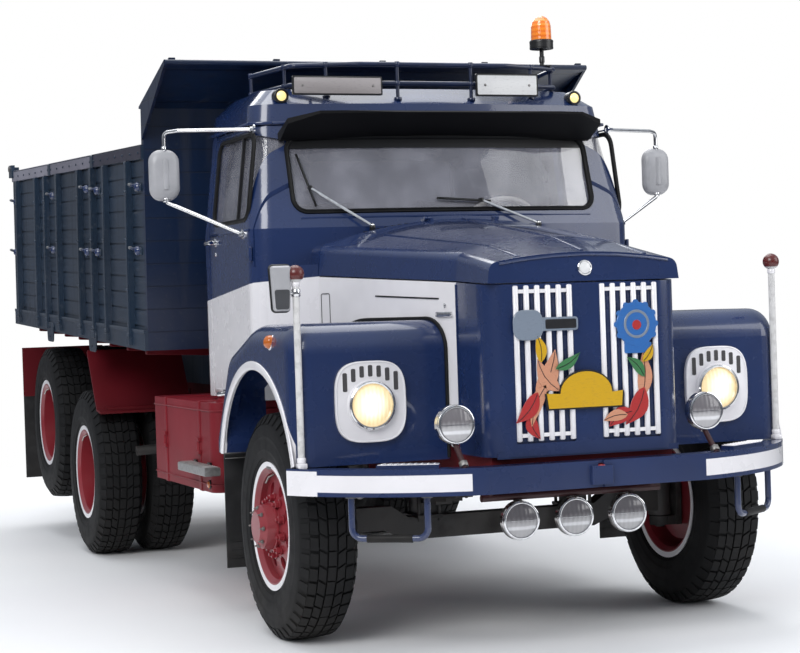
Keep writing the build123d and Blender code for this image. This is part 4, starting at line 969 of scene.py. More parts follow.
def make_tyre(form, x, y, z):
    """Carcass with grooves between the ribs, sidewall rings, and rings of blocks."""
    depth = sizes().tread_depth
    half = list(SIDEWALL) + [(0.124, 0.47), (0.1, crown(0.1) - depth), (0.0, TYRE_R - depth)]
    profile = half + [(-a, r) for a, r in reversed(half[:-1])]
    form.lathe((x, y, z), LEFT, profile, "tyre", 72, ring=True)
    count = sizes().tread_blocks
    arc = math.tau / count
    shape = Form()
    for middle, wide, share, shift in ((0.0, 0.036, 0.9, 0.0), (0.043, 0.034, 0.84, 0.3),
                                       (-0.043, 0.034, 0.84, -0.3), (0.084, 0.036, 0.8, 0.1),
                                       (-0.084, 0.036, 0.8, -0.1)):
        points = []
        for turn in (-0.5, 0.5):
            for a, top in ((-wide / 2, False), (wide / 2, False), (wide / 2, True), (-wide / 2, True)):
                r = crown(middle + a) if top else crown(middle + a) - depth - 0.004
                skew = shift * arc * (a / wide) + turn * arc * share
                points.append((middle + a, r * math.sin(skew), r * math.cos(skew)))
        faces = [[0, 1, 2, 3], [4, 5, 6, 7], [0, 1, 5, 4], [1, 2, 6, 5], [2, 3, 7, 6], [3, 0, 4, 7]]
        shape.take(points, faces, "tyre")
    for side in (1, -1):
        points = []
        for turn in (-0.5, 0.5):
            for a, r in ((0.1275, 0.468), (0.1315, 0.468), (0.1045, 0.5115), (0.096, 0.498)):
                skew = turn * arc * 0.62
                points.append((side * a, r * math.sin(skew), r * math.cos(skew)))
        shape.take(points, faces, "tyre")
    form.take_mesh(ring_of(shape, count), (x, y, z))


def nut(form_length, width, radius, x, side):
    """Wheel nut with its stud, standing off a disc at a radius."""
    shape = Form()
    half = width / 2
    reach = x + side * form_length
    shape.prism(circle(0, radius, half * 1.28, 14), "x", x - side * 0.001, x + side * 0.004, "steel")
    shape.prism(circle(0, radius, half, 6), "x", x, x + side * form_length, "steel", 0.0015)
    shape.prism(circle(0, radius, half * 0.5, 8), "x", reach - side * 0.002, reach + side * 0.012, "steel",
                0.002)
    return shape


def finished(shape, name):
    shape.finishes = [name]
    return shape


def build_wheels():
    count, width = sizes().wheel_nuts, sizes().nut_width
    for name, y, z, centres in WHEELS:
        rim = "rim_" + name
        dress(f"{rim}_left {rim}_right", rim)
        for side, hand in SIDES:
            tyre = Form()
            for centre in centres:
                make_tyre(tyre, side * centre, y, z)
            tyre.piece(f"tyre_dress_{name}_{hand}", f"wheel_{name}_{hand}", "tyre",
                       replaces=(f"tyre_{name}_{hand}",))
            hub = Form()
            if name == "front":
                face = side * (FRONT_TRACK + 0.103)
                hub.take_mesh(ring_of(finished(nut(0.024, width, 0.129, face, side), rim), count), (0, y, z))
                end = [(-0.0015, 0.062), (0.0015, 0.062), (0.005, 0.052), (0.006, 0.0)]
                hub.lathe((side * (FRONT_TRACK + 0.196) - side * 0.008, y, z), (side, 0, 0), end, rim, 28)
                flange = [(-0.002, 0.112), (0.006, 0.112), (0.008, 0.108), (0.008, 0.096), (-0.002, 0.096)]
                hub.lathe((side * (FRONT_TRACK + 0.12), y, z), (side, 0, 0), flange, rim, 32, ring=True)
                bolt = finished(nut(0.009, 0.016, 0.0855, side * (FRONT_TRACK + 0.1825), side), "steel")
                hub.take_mesh(ring_of(bolt, 8), (0, y, z))
                weight = rect(-0.035, 0.035, 0.26, 0.272, 0.003)
                hub.prism(placed(weight, y, z), "x", side * 1.124, side * 1.1365, "steel", 0.002)
            else:
                face = side * 0.931
                hub.take_mesh(ring_of(finished(nut(0.026, width, 0.16, face, side), rim), count), (0, y, z))
                flange = [(-0.004, 0.128), (0.006, 0.128), (0.008, 0.124), (0.008, 0.115), (-0.004, 0.115)]
                hub.lathe((side * 1.0, y, z), (side, 0, 0), flange, rim, 32, ring=True)
                bolt = finished(nut(0.01, 0.018, 0.108, side * 1.026, side), "steel")
                hub.take_mesh(ring_of(bolt, 10), (0, y, z))
                plug = [(-0.002, 0.022), (0.01, 0.022), (0.012, 0.019), (0.012, 0.0)]
                hub.lathe((side * 1.0895, y, z), (side, 0, 0), plug, "steel", 6)
            valve = [(side * (centres[0] + a), y, z + b)
                     for a, b in ((0.1, 0.236), (0.128, 0.222), (0.142, 0.196))]
            hub.tube(valve, 0.0045, "steel", sides=8, up=REAR)
            hub.piece(f"hub_dress_{name}_{hand}", f"wheel_{name}_{hand}", "wheel_red")


# ---------------------------------------------------------------- cab
FLANK, LEAN = 1.02, 0.062  # half width below the belt, and what it loses up to the gutter
BELT_Z, GUTTER_Z = 1.9, 2.42
CAB_BACK = 1.4915


def screen_y(x, z):
    """Outer face of the cab's front, between belt and gutter."""
    share = (z - BELT_Z) / 0.52
    return 0.43 + 0.16 * share + 0.09 * (x / (FLANK - LEAN * share)) ** 2


def flank_x(z):
    """Outer face of the cab's side, from the middle."""
    return FLANK if z < BELT_Z else FLANK - LEAN * (z - BELT_Z) / 0.52


def dense(outline, step=0.04):
    """Outline with points added along its longer runs."""
    made = []
    for i, here in enumerate(outline):
        after = outline[(i + 1) % len(outline)]
        run = math.dist(here, after)
        parts = max(1, math.ceil(run / step))
        for k in range(parts):
            t = k / parts
            made.append((here[0] + (after[0] - here[0]) * t, here[1] + (after[1] - here[1]) * t))
    return made


SEAL_SECTION = ((-1.0, -0.35), (-0.75, 0.35), (-0.15, 0.62), (0.15, 0.4), (0.8, 0.62), (1.0, 0.2),
                (1.0, -0.8), (-1.0, -0.8))


def window_seal(form, path, outward, width=None):
    """Rubber of a window, laid on the panel along a closed path."""
    width = width or sizes().seal
    section = [(a * width, b * width) for a, b in SEAL_SECTION]
    form.sweep(path, section, "rubber", closed=True, up=outward)


def build_windows():
    dress("cab_glass door_glass_left door_glass_right", "glass")
    seals = Form()
    outline = dense(rect(-0.806, 0.806, 1.979, 2.351, 0.066, 6), 0.06)
    window_seal(seals, [(x, screen_y(x, z) - 0.001, z) for x, z in outline], (0, -1, 0.3), width=0.0125)
    rear = dense(rect(-0.426, 0.426, 1.984, 2.306, 0.066, 6), 0.08)
    window_seal(seals, [(x, 1.491, z) for x, z in rear], REAR)
    seals.piece("screen_rubbers", "chassis", "flap_rubber", angle=50)
    # Black band across the top of the windscreen: painted shadow of the sun visor.
    painted_visor_shadow = Form()
    band = [-0.79 + 1.58 * k / 24 for k in range(25)]
    points = [(x, screen_y(x, z) + off, z)
              for z, off in ((2.345, 0.006), (2.295, 0.006), (2.295, 0.01), (2.345, 0.01)) for x in band]
    n = len(band)
    faces = [[r * n + i, r * n + i + 1, ((r + 1) % 4) * n + i + 1, ((r + 1) % 4) * n + i]
             for r in range(4) for i in range(n - 1)]
    faces += [[0, n, 2 * n, 3 * n], [n - 1, 2 * n - 1, 3 * n - 1, 4 * n - 1]]
    painted_visor_shadow.take(points, faces, "black")
    painted_visor_shadow.piece("screen_painted_visor_shadow", "chassis", "visor_black")
    for side, hand in SIDES:
        form = Form()
        outline = dense(rect(0.614, 1.246, 1.949, 2.371, 0.066, 6), 0.06)
        path = [(side * (flank_x(z) + 0.001), y, z) for y, z in outline]
        window_seal(form, path, (side, 0, 0.12), width=0.0115)
        split = [(side * (flank_x(z) + 0.0005), 0.8, z) for z in (1.952, 2.08, 2.22, 2.368)]
        form.sweep(split, strip(0.007, -0.01, 0.004), "black", up=(side, 0, 0))
        form.piece(f"door_rubbers_{hand}", f"door_{hand}", "flap_rubber", angle=50)


def build_cab():
    dress("cab_front cab_back", "cab")
    dress("cab_roof", "blue")
    dress("cab_floor", "mat")
    dress("sun_visor", "visor")
    dress("dashboard", "trim")
    trim = Form()
    for side in (1, -1):
        gutter = [(side * 0.964, y, 2.4235) for y in (0.7, 0.9, 1.1, 1.3, 1.42)]
        trim.sweep(gutter, strip(0.01, -0.007, 0.009, 0.004), "blue", up=UP)
        front = [(side * x, screen_y(x, GUTTER_Z) - 0.006, 2.4235) for x in (0.86, 0.6, 0.3, 0.0)]
        trim.sweep(front, strip(0.009, -0.007, 0.009, 0.004), "blue", up=UP)
        corner = [(side * 0.86, screen_y(0.86, GUTTER_Z) - 0.006, 2.4235), (side * 0.925, 0.678, 2.4235),
                  (side * 0.955, 0.7, 2.4235), (side * 0.964, 0.74, 2.4235)]
        trim.sweep(corner, strip(0.009, -0.007, 0.009, 0.004), "blue", up=UP)
    belt = [(x, screen_y(x, 1.948) - 0.001, 1.948) for x in (-0.78, -0.5, -0.2, 0.2, 0.5, 0.78)]
    trim.sweep(belt, strip(0.006, -0.005, 0.003), "blue", up=AHEAD)
    trim.piece("cab_gutters", "chassis", "body_blue", bevel=0.0012)
    vents = Form()
    for side in (1, -1):
        for k in range(7):
            x = side * (0.27 + 0.036 * k)
            top = 1.925 - 0.125 * (x / 0.738) ** 2
            vents.prism(rect(x - 0.012, x + 0.012, 0.372, 0.402, 0.006, 3), "z", top - 0.006, top + 0.0015,
                        "black", 0.0005)
    vents.piece("cowl_vents", "chassis", "visor_black", bevel=0.0005)
    rear = Form()
    for z in (1.3, 1.62, 1.86):
        rear.sweep([(x, CAB_BACK, z) for x in (-0.9, 0.0, 0.9)], strip(0.022, -0.004, 0.006, 0.005), "blue",
                   up=REAR)
    rear.piece("cab_back_ribs", "chassis", "body_blue", bevel=0.001)


def build_doors():
    dress("door_left door_right", "cab")
    for side, hand in SIDES:
        body = f"door_{hand}"
        form = Form()
        x = side * 1.044
        grip = [(side * 1.018, 1.205, 1.862), (x, 1.208, 1.862), (x, 1.292, 1.862)]
        form.tube(grip, 0.0125, "chrome", bend=0.014, sides=12, up=UP)
        form.lathe((side * 1.0195, 1.205, 1.862), (side, 0, 0),
                   [(0, 0.024), (0.004, 0.023), (0.007, 0.016), (0.008, 0)], "chrome", 24)
        form.lathe((side * 1.0195, 1.205, 1.8), (side, 0, 0), cap(0.012, 0.004), "chrome", 18)
        form.piece(f"door_handle_{hand}", body, "lamp_chrome")
        form = Form()
        for z in (1.24, 1.78):
            finish_name = "white" if z < 1.5 else "blue"
            form.rod((side * 1.0205, 0.566, z - 0.035), (side * 1.0205, 0.566, z + 0.035), 0.0095,
                     finish_name, 14, 0.002)
            form.box((side * 1.0195, side * 1.0235), (0.57, 0.625), (z - 0.028, z + 0.028), finish_name,
                     0.0015)
        form.piece(f"door_hinges_{hand}", body, "body_blue", bevel=0.0008)
        form = Form()
        sill = [(side * 1.0215, y, 1.1) for y in (0.6, 0.85, 1.1, 1.28)]
        form.sweep(sill, strip(0.01, -0.004, 0.004, 0.003), "white", up=(side, 0, 0))
        crease = [(side * 1.0208, y, 1.8985) for y in (0.585, 0.85, 1.1, 1.29)]
        form.sweep(crease, strip(0.007, -0.004, 0.0035, 0.003), "blue", up=(side, 0, 0))
        rain = [(side * (flank_x(2.392) + 0.002), y, 2.392) for y in (0.585, 0.85, 1.1, 1.29)]
        form.sweep(rain, strip(0.004, -0.005, 0.006, 0.002), "blue", up=(side, 0, 0))
        form.piece(f"door_trim_{hand}", body, "body_blue", bevel=0.0008)
        inner = Form()
        pull_x = side * 0.957
        inner.box((side * 0.967, side * 0.972), (0.62, 1.26), (1.18, 1.8), "trim", 0.002)
        inner.tube([(side * 0.968, 0.9, 1.62), (pull_x, 0.9, 1.62), (pull_x, 1.08, 1.62),
                    (side * 0.968, 1.08, 1.62)], 0.007, "black", bend=0.02, up=(side, 0, 0.01))
        inner.piece(f"door_card_{hand}", body, "trim_grey")


def build_mirrors():
    for side, hand in SIDES:
        form = Form()
        post, mid_z = (side * 1.36, 0.855), 2.186
        rings = []
        for y, grow in ((0.879, 0.93), (0.88, 1.0), (0.868, 1.0), (0.85, 0.965), (0.838, 0.86), (0.832, 0.62),
                        (0.83, 0.25)):
            shell = [(a * grow, b * grow) for a, b in rect(-0.075, 0.075, -0.126, 0.126, 0.06, 6)]
            rings.append(upright(shell, y, post[0], mid_z))
        count = len(rings[0])
        points = [p for ring in rings for p in ring]
        faces = walls(len(rings), count) + lids(len(rings), count)
        form.take(points, faces, "mirror_back")
        glass = rect(-0.066, 0.066, -0.117, 0.117, 0.052, 6)
        form.prism(placed(glass, post[0], mid_z), "y", 0.8785, 0.8812, "mirror")
        rim = rect(-0.0702, 0.0702, -0.1212, 0.1212, 0.056, 6)
        form.sweep(upright(rim, 0.88, post[0], mid_z), circle(0, 0, 0.004, 8), "black", closed=True,
                   up=REAR)
        form.box((post[0] - 0.014, post[0] + 0.014), (0.826, 0.84), (2.115, 2.262), "mirror_back", 0.004)
        arm = [(side * 0.96, 0.643, 2.392), (side * 1.3, 0.8, 2.4), (*post, 2.395), (*post, 2.3)]
        form.tube(arm, 0.0095, "chrome", bend=0.03, sides=12)
        form.tube([(*post, 2.075), (side * 1.352, 0.85, 2.05), (side * 1.024, 0.691, 1.884)],
                  0.0095, "chrome", bend=0.02, sides=12)
        for z in (2.315, 2.065):
            form.rod((*post, z - 0.012), (*post, z + 0.012), 0.0135, "chrome", 14, 0.002)
        foot = [(side * (flank_x(2.392) + 0.001), 0.643, 2.392), (side * 1.0215, 0.691, 1.884)]
        for x, y, z in foot:
            form.lathe((x - side * 0.003, y, z), (side, 0, 0),
                       [(0, 0.026), (0.006, 0.025), (0.01, 0.014), (0.022, 0.0125)], "chrome", 20)
        form.piece(f"mirror_dress_{hand}", f"door_{hand}", "lamp_chrome", replaces=(f"mirror_{hand}",),
                   angle=45)


def build_interior():
    """Steering wheel and instruments, behind the screen."""
    wheel = Form()
    centre = Vector((0.42, 0.905, 1.89))
    axis = Vector((0, 0.72, 0.69)).normalized()
    across = Vector(LEFT)
    lift = axis.cross(across).normalized()

    def spread(turn):
        return across * math.cos(turn) + lift * math.sin(turn)

    ring = [centre + spread(math.tau * k / 64) * 0.215 for k in range(64)]
    wheel.sweep(ring, circle(0, 0, 0.0135, 12), "wheel_grip", closed=True, up=axis)
    grips = 48
    for k in range(grips):
        out = spread(math.tau * k / grips)
        spot = centre + out * 0.2035 - axis * 0.0065
        wheel.lathe(spot, axis, [(0, 0.0), (0.002, 0.0045), (0.011, 0.0045), (0.013, 0)], "wheel_grip", 6)
    for k in range(3):
        out = spread(math.radians(90 + 120 * k))
        path = [centre + out * 0.03, centre + out * 0.12 - axis * 0.004, centre + out * 0.208]
        wheel.sweep(path, strip(0.011, -0.005, 0.005, 0.004), "chrome", up=axis)
    wheel.lathe(centre - axis * 0.02, axis, [(0, 0.044), (0.03, 0.044), (0.038, 0.036), (0.041, 0.0)],
                "black", 32)
    wheel.lathe(centre + axis * 0.0205, axis, cap(0.02, 0.003, 0.002), "chrome", 24)
    wheel.piece("steering_wheel_dress", "chassis", "trim_grey", replaces=("steering_wheel",), angle=50)
    board = Form()
    for x, radius in ((0.3, 0.052), (0.42, 0.06), (0.54, 0.052)):
        spot = (x, 0.757, 1.818)
        face = Vector((0, 0.996, -0.09))
        board.lathe(spot, face, [(0, radius), (0.008, radius), (0.011, radius - 0.006),
                                 (0.006, radius - 0.008), (0.006, 0.0)], "black", 32)
        board.lathe(Vector(spot) + face * 0.0065, face,
                    [(0, radius * 0.8), (0.0006, radius * 0.8), (0.0006, 0.0)], "plate_white", 28)
        board.lathe(Vector(spot) + face * 0.0075, face, cap(0.006, 0.004, 0.002), "black", 12)
    for k in range(6):
        board.lathe((0.1 - 0.09 * k, 0.753, 1.79), (0, 1, -0.09),
                    [(0, 0.014), (0.012, 0.012), (0.02, 0.01), (0.022, 0)], "black", 16)
    board.box((-0.62, -0.3), (0.748, 0.756), (1.7, 1.83), "black", 0.003)
    board.piece("dash_instruments", "chassis", "trim_grey", bevel=0.0008)


# ---------------------------------------------------------------- seats
def crowned(form, low, high, crown_up, pull, rows, columns, finish_name, channels=()):
    """Stuffed pad: a crowned top, sides that pull in, and sewn channels across it."""
    (x0, y0, z0), (x1, y1, z1) = low, high
    def shape(u, v, face):
        a, b = u * 2 - 1, v * 2 - 1
        full = (1 - abs(a) ** 5) * (1 - abs(b) ** 5)
        squeeze = 1 - pull * (1 - abs(a) ** 2) * abs(b) ** 6
        squeeze_b = 1 - pull * (1 - abs(b) ** 2) * abs(a) ** 6
        x = (x0 + x1) / 2 + (x1 - x0) / 2 * a * squeeze_b
        y = (y0 + y1) / 2 + (y1 - y0) / 2 * b * squeeze
        middle, half = (z0 + z1) / 2, (z1 - z0) / 2
        sewn = min([1.0] + [abs(v - c) / 0.02 for c in channels])
        dip = 0.009 * max(0.0, 1 - sewn)
        if face > 0:
            z = middle + half * (1 - crown_up) + half * crown_up * full ** 0.6 - dip
        else:
            z = middle - half * (1 - crown_up * 0.25 * (1 - full))
        return (x, y, z)
    points, faces = [], []
    for face in (1, -1):
        start = len(points)
        for r in range(rows + 1):
            for c in range(columns + 1):
                points.append(shape(c / columns, r / rows, face))
        for r in range(rows):
            for c in range(columns):
                i = start + r * (columns + 1) + c
                faces.append([i, i + 1, i + columns + 2, i + columns + 1])
    edge = []
    for c in range(columns):
        edge.append((c, c + 1))
        edge.append((rows * (columns + 1) + c, rows * (columns + 1) + c + 1))
    for r in range(rows):
        edge.append((r * (columns + 1), (r + 1) * (columns + 1)))
        edge.append((r * (columns + 1) + columns, (r + 1) * (columns + 1) + columns))
    n = (rows + 1) * (columns + 1)
    for a, b in edge:
        faces.append([a, b, n + b, n + a])
    form.take(points, faces, finish_name)


def build_seats():
    frame_form = Form()
    for x in (-0.43, 0.43):
        frame_form.box((x - 0.2, x + 0.2), (0.93, 1.31), (1.1155, 1.4), "trim", 0.006)
        for y in (0.95, 1.29):
            frame_form.tube([(x - 0.23, y, 1.405), (x + 0.23, y, 1.405)], 0.011, "black")
        frame_form.prism([(1.352, 1.43), (1.372, 1.43), (1.418, 2.02), (1.402, 2.02)], "x", x - 0.215,
                         x + 0.215, "trim", 0.004)
        name = "left" if x > 0 else "right"
        cushion = Form()
        crowned(cushion, (x - 0.247, 0.884, 1.408), (x + 0.247, 1.352, 1.548), 0.42, 0.045, 26, 22, "seat",
                channels=(0.26, 0.42, 0.58, 0.74))
        pad = cushion.piece(f"seat_cushion_{name}", "chassis", "seat_cloth", angle=70)
        rest = Form(Matrix.Translation((0, 1.414, 1.512)) @ Matrix.Rotation(math.radians(88), 4, "X"))
        crowned(rest, (x - 0.238, 0.0, -0.008), (x + 0.238, 0.56, 0.08), 0.45, 0.04, 26, 22, "seat",
                channels=(0.2, 0.4, 0.6, 0.8))
        pad = rest.piece(f"seat_back_{name}", "chassis", "seat_cloth", angle=70)
    frame_form.piece("seat_frames", "chassis", "trim_grey", bevel=0.001, replaces=("seats",))


# ---------------------------------------------------------------- front
def ribbed_lens(form, spot, toward, radius, dome, finish_name, rings=8, steps=40):
    """Glass of a round lamp: a shallow dome, whose upright ribs come from its finish."""
    profile = [(dome * (1 - (r / rings) ** 2), radius * r / rings) for r in range(rings, -1, -1)]
    profile = [(-0.004, radius)] + profile
    form.lathe(spot, toward, profile, finish_name, steps)


def lamp_ring(form, spot, toward, radius, depth, finish_name, steps=48):
    """Rolled rim of a lamp."""
    profile = [(-depth, radius + 0.001), (-0.002, radius + 0.004), (0.004, radius + 0.003),
               (0.007, radius - 0.002), (0.006, radius - 0.008), (0.0, radius - 0.01),
               (-depth, radius - 0.01)]
    form.lathe(spot, toward, profile, finish_name, steps, ring=True)


def build_headlamps():
    """Pale bezels with bowed sides, and dark air slits in an arc over the glass."""
    form = Form()
    bow = 2 / 3.4
    outline = []
    for k in range(64):
        c, s = math.cos(math.tau * k / 64), math.sin(math.tau * k / 64)
        outline.append((0.162 * math.copysign(abs(c) ** bow, c), 0.176 * math.copysign(abs(s) ** bow, s)))
    for side in (1, -1):
        x, y, z = side * HEADLAMP[0], HEADLAMP[1], HEADLAMP[2]
        form.prism(placed(outline, x, z), "y", y - 0.018, y, "white", 0.003)
        form.sweep([(x + a * 0.975, y - 0.018, z + b * 0.977) for a, b in outline], circle(0, 0, 0.0042, 8),
                   "white", closed=True, up=AHEAD)
        lens_z = z + LENS_UP
        form.lathe((x, y - 0.016, lens_z), AHEAD, [(0, 0.112), (0.01, 0.109), (0.018, 0.105), (0.018, 0.095),
                                                   (0, 0.095)], "white", 48, ring=True)
        ribbed_lens(form, (x, y - 0.03, lens_z), AHEAD, 0.095, 0.02, "head_glass")
        lamp_ring(form, (x, y - 0.036, lens_z), AHEAD, 0.102, 0.018, "chrome")
        form.lathe((x, y - 0.04, lens_z - 0.101), AHEAD, cap(0.006, 0.004), "steel", 12)
        pitch, half, clear = 0.039, 0.0115, 0.118
        for step in range(-3, 4):
            away = abs(step) * pitch
            near = min(max(away - half, 0.0), clear)
            low = max(lens_z + math.sqrt(clear * clear - near * near) + 0.004, z + 0.045)
            middle, top = x + step * pitch, z + 0.159 - 0.0034 * step * step
            slit = rect(middle - half, middle + half, low, top, 0.007, 3)
            form.prism(slit, "y", y - 0.0188, y - 0.017, "slit", 0.0)
            form.sweep(upright(slit, y - 0.0186), circle(0, 0, 0.0012, 6), "white", closed=True, up=AHEAD)
    form.piece("headlamp_dress", "chassis", "lamp_chrome", angle=40, replaces=("headlamps",))


def build_front_lamps():
    dress("front_lamps", "lamp_case")
    form = Form()
    for x, y, z, radius in SPOT_LAMPS:
        ribbed_lens(form, (x, y, z), AHEAD, radius - 0.004, 0.013, "clear")
        lamp_ring(form, (x, y + 0.001, z), AHEAD, radius + 0.002, 0.01, "chrome")
        form.lathe((x, y - 0.006, z + radius + 0.001), AHEAD, cap(0.005, 0.004), "steel", 10)
        spread = radius * 0.93
        form.tube([(x - spread, y - 0.0095, z), (x, y - 0.015, z), (x + spread, y - 0.0095, z)], 0.0016,
                  "chrome", sides=6, up=AHEAD)
    for x in (-0.596, 0.596):
        form.rod((x, -1.0385, 0.8235), (x, -1.019, 0.842), 0.021, "steel", 6, 0.002)
        form.rod((x, -0.944, 0.912), (x, -0.93, 0.9252), 0.018, "chrome", 18, 0.003)
    for x in (-0.26, 0.0, 0.26):
        form.rod((x, -0.81, 0.632), (x, -0.81, 0.65), 0.019, "steel", 6, 0.002)
    form.piece("front_lamp_dress", "chassis", "lamp_chrome", angle=45)


def leaf_shape(length, width, bend):
    """Outline of a bent, pointed leaf along z."""
    left, right, steps = [], [], 9
    for k in range(steps + 1):
        t = k / steps
        half = width / 2 * math.sin(math.pi * t ** 0.8)
        centre = bend * math.sin(math.pi * t)
        left.append((centre - half, t * length))
        right.append((centre + half, t * length))
    return right + left[-2:0:-1]


def build_grille():
    dress("nose_shell", "blue")
    dress("radiator", "radiator")
    bars = Form()
    for side in (1, -1):
        x0, x1 = sorted((side * 0.066, side * 0.341))
        for k in range(6):
            middle = x0 + 0.012 + (x1 - x0 - 0.024) / 5 * k
            bars.prism(rect(middle - 0.012, middle + 0.012, -1.02, -0.999, 0.009, 4), "z", 0.912, 1.574,
                       "white", 0.004)
        for z in (0.938, 1.549):
            bars.box((x0 + 0.002, x1 - 0.002), (-1.014, -1.002), (z - 0.008, z + 0.008), "white", 0.002)
        bars.box((x0 + 0.001, x1 - 0.001), (-0.996, -0.992), (0.9045, 1.5595), "blue")
    bars.piece("grille_bars", "chassis", "white_paint", angle=50, replaces=("grille_panels",))
    apron = Form()
    apron.box((-0.43, 0.43), (-1.006, -0.998), (0.843, 0.87), "blue", 0.002)
    apron.piece("nose_apron", "chassis", "body_blue")
    signs = Form()
    back = -1.0195
    signs.prism(rect(-0.25, -0.046, 1.378, 1.436, 0.014, 4), "y", back - 0.007, back, "badge_grey", 0.002)
    signs.prism(rect(-0.2, -0.056, 1.387, 1.427, 0.006, 3), "y", back - 0.0085, back - 0.006, "plate_black",
                0.0005)
    signs.prism(rect(-0.35, -0.212, 1.341, 1.47, 0.046, 6), "y", back - 0.01, back - 0.0005, "badge_grey",
                0.003)
    signs.prism(circle(0.232, 1.394, 0.096, 40), "y", back - 0.008, back, "badge_blue", 0.002)
    for k in range(12):
        turn = math.tau * k / 12
        spot = (0.232 + 0.093 * math.cos(turn), back - 0.001, 1.394 + 0.093 * math.sin(turn))
        signs.lathe(spot, AHEAD, cap(0.014, 0.006), "badge_blue", 12)
    signs.lathe((0.232, back - 0.008, 1.394), AHEAD, [(0, 0.062), (0.002, 0.06), (0.002, 0.052), (0, 0.05)],
                "badge_grey", 40, ring=True)
    signs.lathe((0.232, back - 0.0075, 1.39), AHEAD, cap(0.022, 0.003, 0.002), "scarlet", 20)
    signs.prism(rect(0.172, 0.302, 1.268, 1.314, 0.008, 3), "y", back - 0.007, back, "badge_blue", 0.002)
    turns = [math.pi * k / 18 for k in range(19)]
    arch = [(-0.02 + 0.122 * math.cos(t), 1.108 + 0.092 * math.sin(t)) for t in turns]
    board = [(-0.197, 1.047), (0.147, 1.047), (0.153, 1.112)] + arch + [(-0.206, 1.112)]
    border = [(-0.024 + (a + 0.024) * 1.045, 1.118 + (b - 1.118) * 1.1) for a, b in board]
    signs.prism(border, "y", back - 0.0105, back - 0.0005, "plate_black")
    signs.prism(board, "y", back - 0.0135, back - 0.01, "yellow")
    signs.piece("grille_plates", "chassis", "white_paint")
    cut = Form()
    layers = (
        # finish, leaf length, width, bend, x, z, turn, step forward
        ("peach", 0.215, 0.085, 0.02, -0.25, 1.105, -0.45, 0),
        ("peach", 0.175, 0.07, -0.02, -0.14, 1.12, 0.62, 1),
        ("yellow", 0.12, 0.052, 0.01, -0.225, 1.245, 0.15, 2),
        ("peach", 0.19, 0.062, 0.015, -0.205, 1.15, 2.75, 1),
        ("scarlet", 0.165, 0.07, -0.015, -0.245, 1.12, 2.45, 2),
        ("scarlet", 0.12, 0.058, 0.012, -0.285, 1.03, 3.55, 0),
        ("leaf", 0.135, 0.046, 0.012, -0.16, 1.215, -1.05, 3),
        ("peach", 0.2, 0.07, 0.014, 0.25, 1.075, -0.05, 0),
        ("leaf", 0.12, 0.048, 0.012, 0.262, 1.165, 0.75, 2),
        ("scarlet", 0.185, 0.085, -0.018, 0.262, 1.12, 2.6, 1),
        ("scarlet", 0.135, 0.07, 0.015, 0.205, 1.02, 2.05, 2),
        ("yellow", 0.09, 0.04, 0.008, 0.255, 1.23, -0.6, 3),
        ("peach", 0.12, 0.05, 0.01, 0.175, 1.005, 1.75, 3),
    )
    for name, length, width, bend, x, z, turn, step in layers:
        low = back - 0.0035 - 0.0025 * step
        outline = placed(leaf_shape(length, width, bend), x, z, turn)
        cut.prism(outline, "y", low, low + 0.003, name, 0.0006)
        rib = placed([(bend * math.sin(math.pi * t), t * length) for t in (0.06, 0.3, 0.55, 0.8, 0.95)], x, z,
                     turn)
        cut.tube(upright(rib, low - 0.0002), 0.0016, "plate_black", sides=6, up=AHEAD)
    cut.piece("grille_cutouts", "chassis", "white_paint")


def lid_height(y, x):
    """Top of the bonnet lid."""
    rows = ((-1.01, 0.454, 1.672, 1.712), (-0.68, 0.462, 1.722, 1.792), (0.344, 0.75, 1.8, 1.925))
    first, last = (rows[0], rows[1]) if y < -0.68 else (rows[1], rows[2])
    t = (y - first[0]) / (last[0] - first[0])
    half, shoulder, top = (first[k] + (last[k] - first[k]) * t for k in (1, 2, 3))
    return top - (top - shoulder) * min(1.0, abs(x) / (half - 0.012)) ** 2


def wall_x(y):
    """Outer face of the bonnet's side, from the middle."""
    return NOSE_HALF + (COWL_HALF - NOSE_HALF) / (0.35 - NOSE_Y) * (y - NOSE_Y)


def on_arch(out, turn):
    """(y, z) of a place on the front wheel arch, that far outside its edge."""
    reach = ARCH_RADIUS + out
    return ARCH_Y - reach * math.cos(turn), ARCH_Z + reach * math.sin(turn)


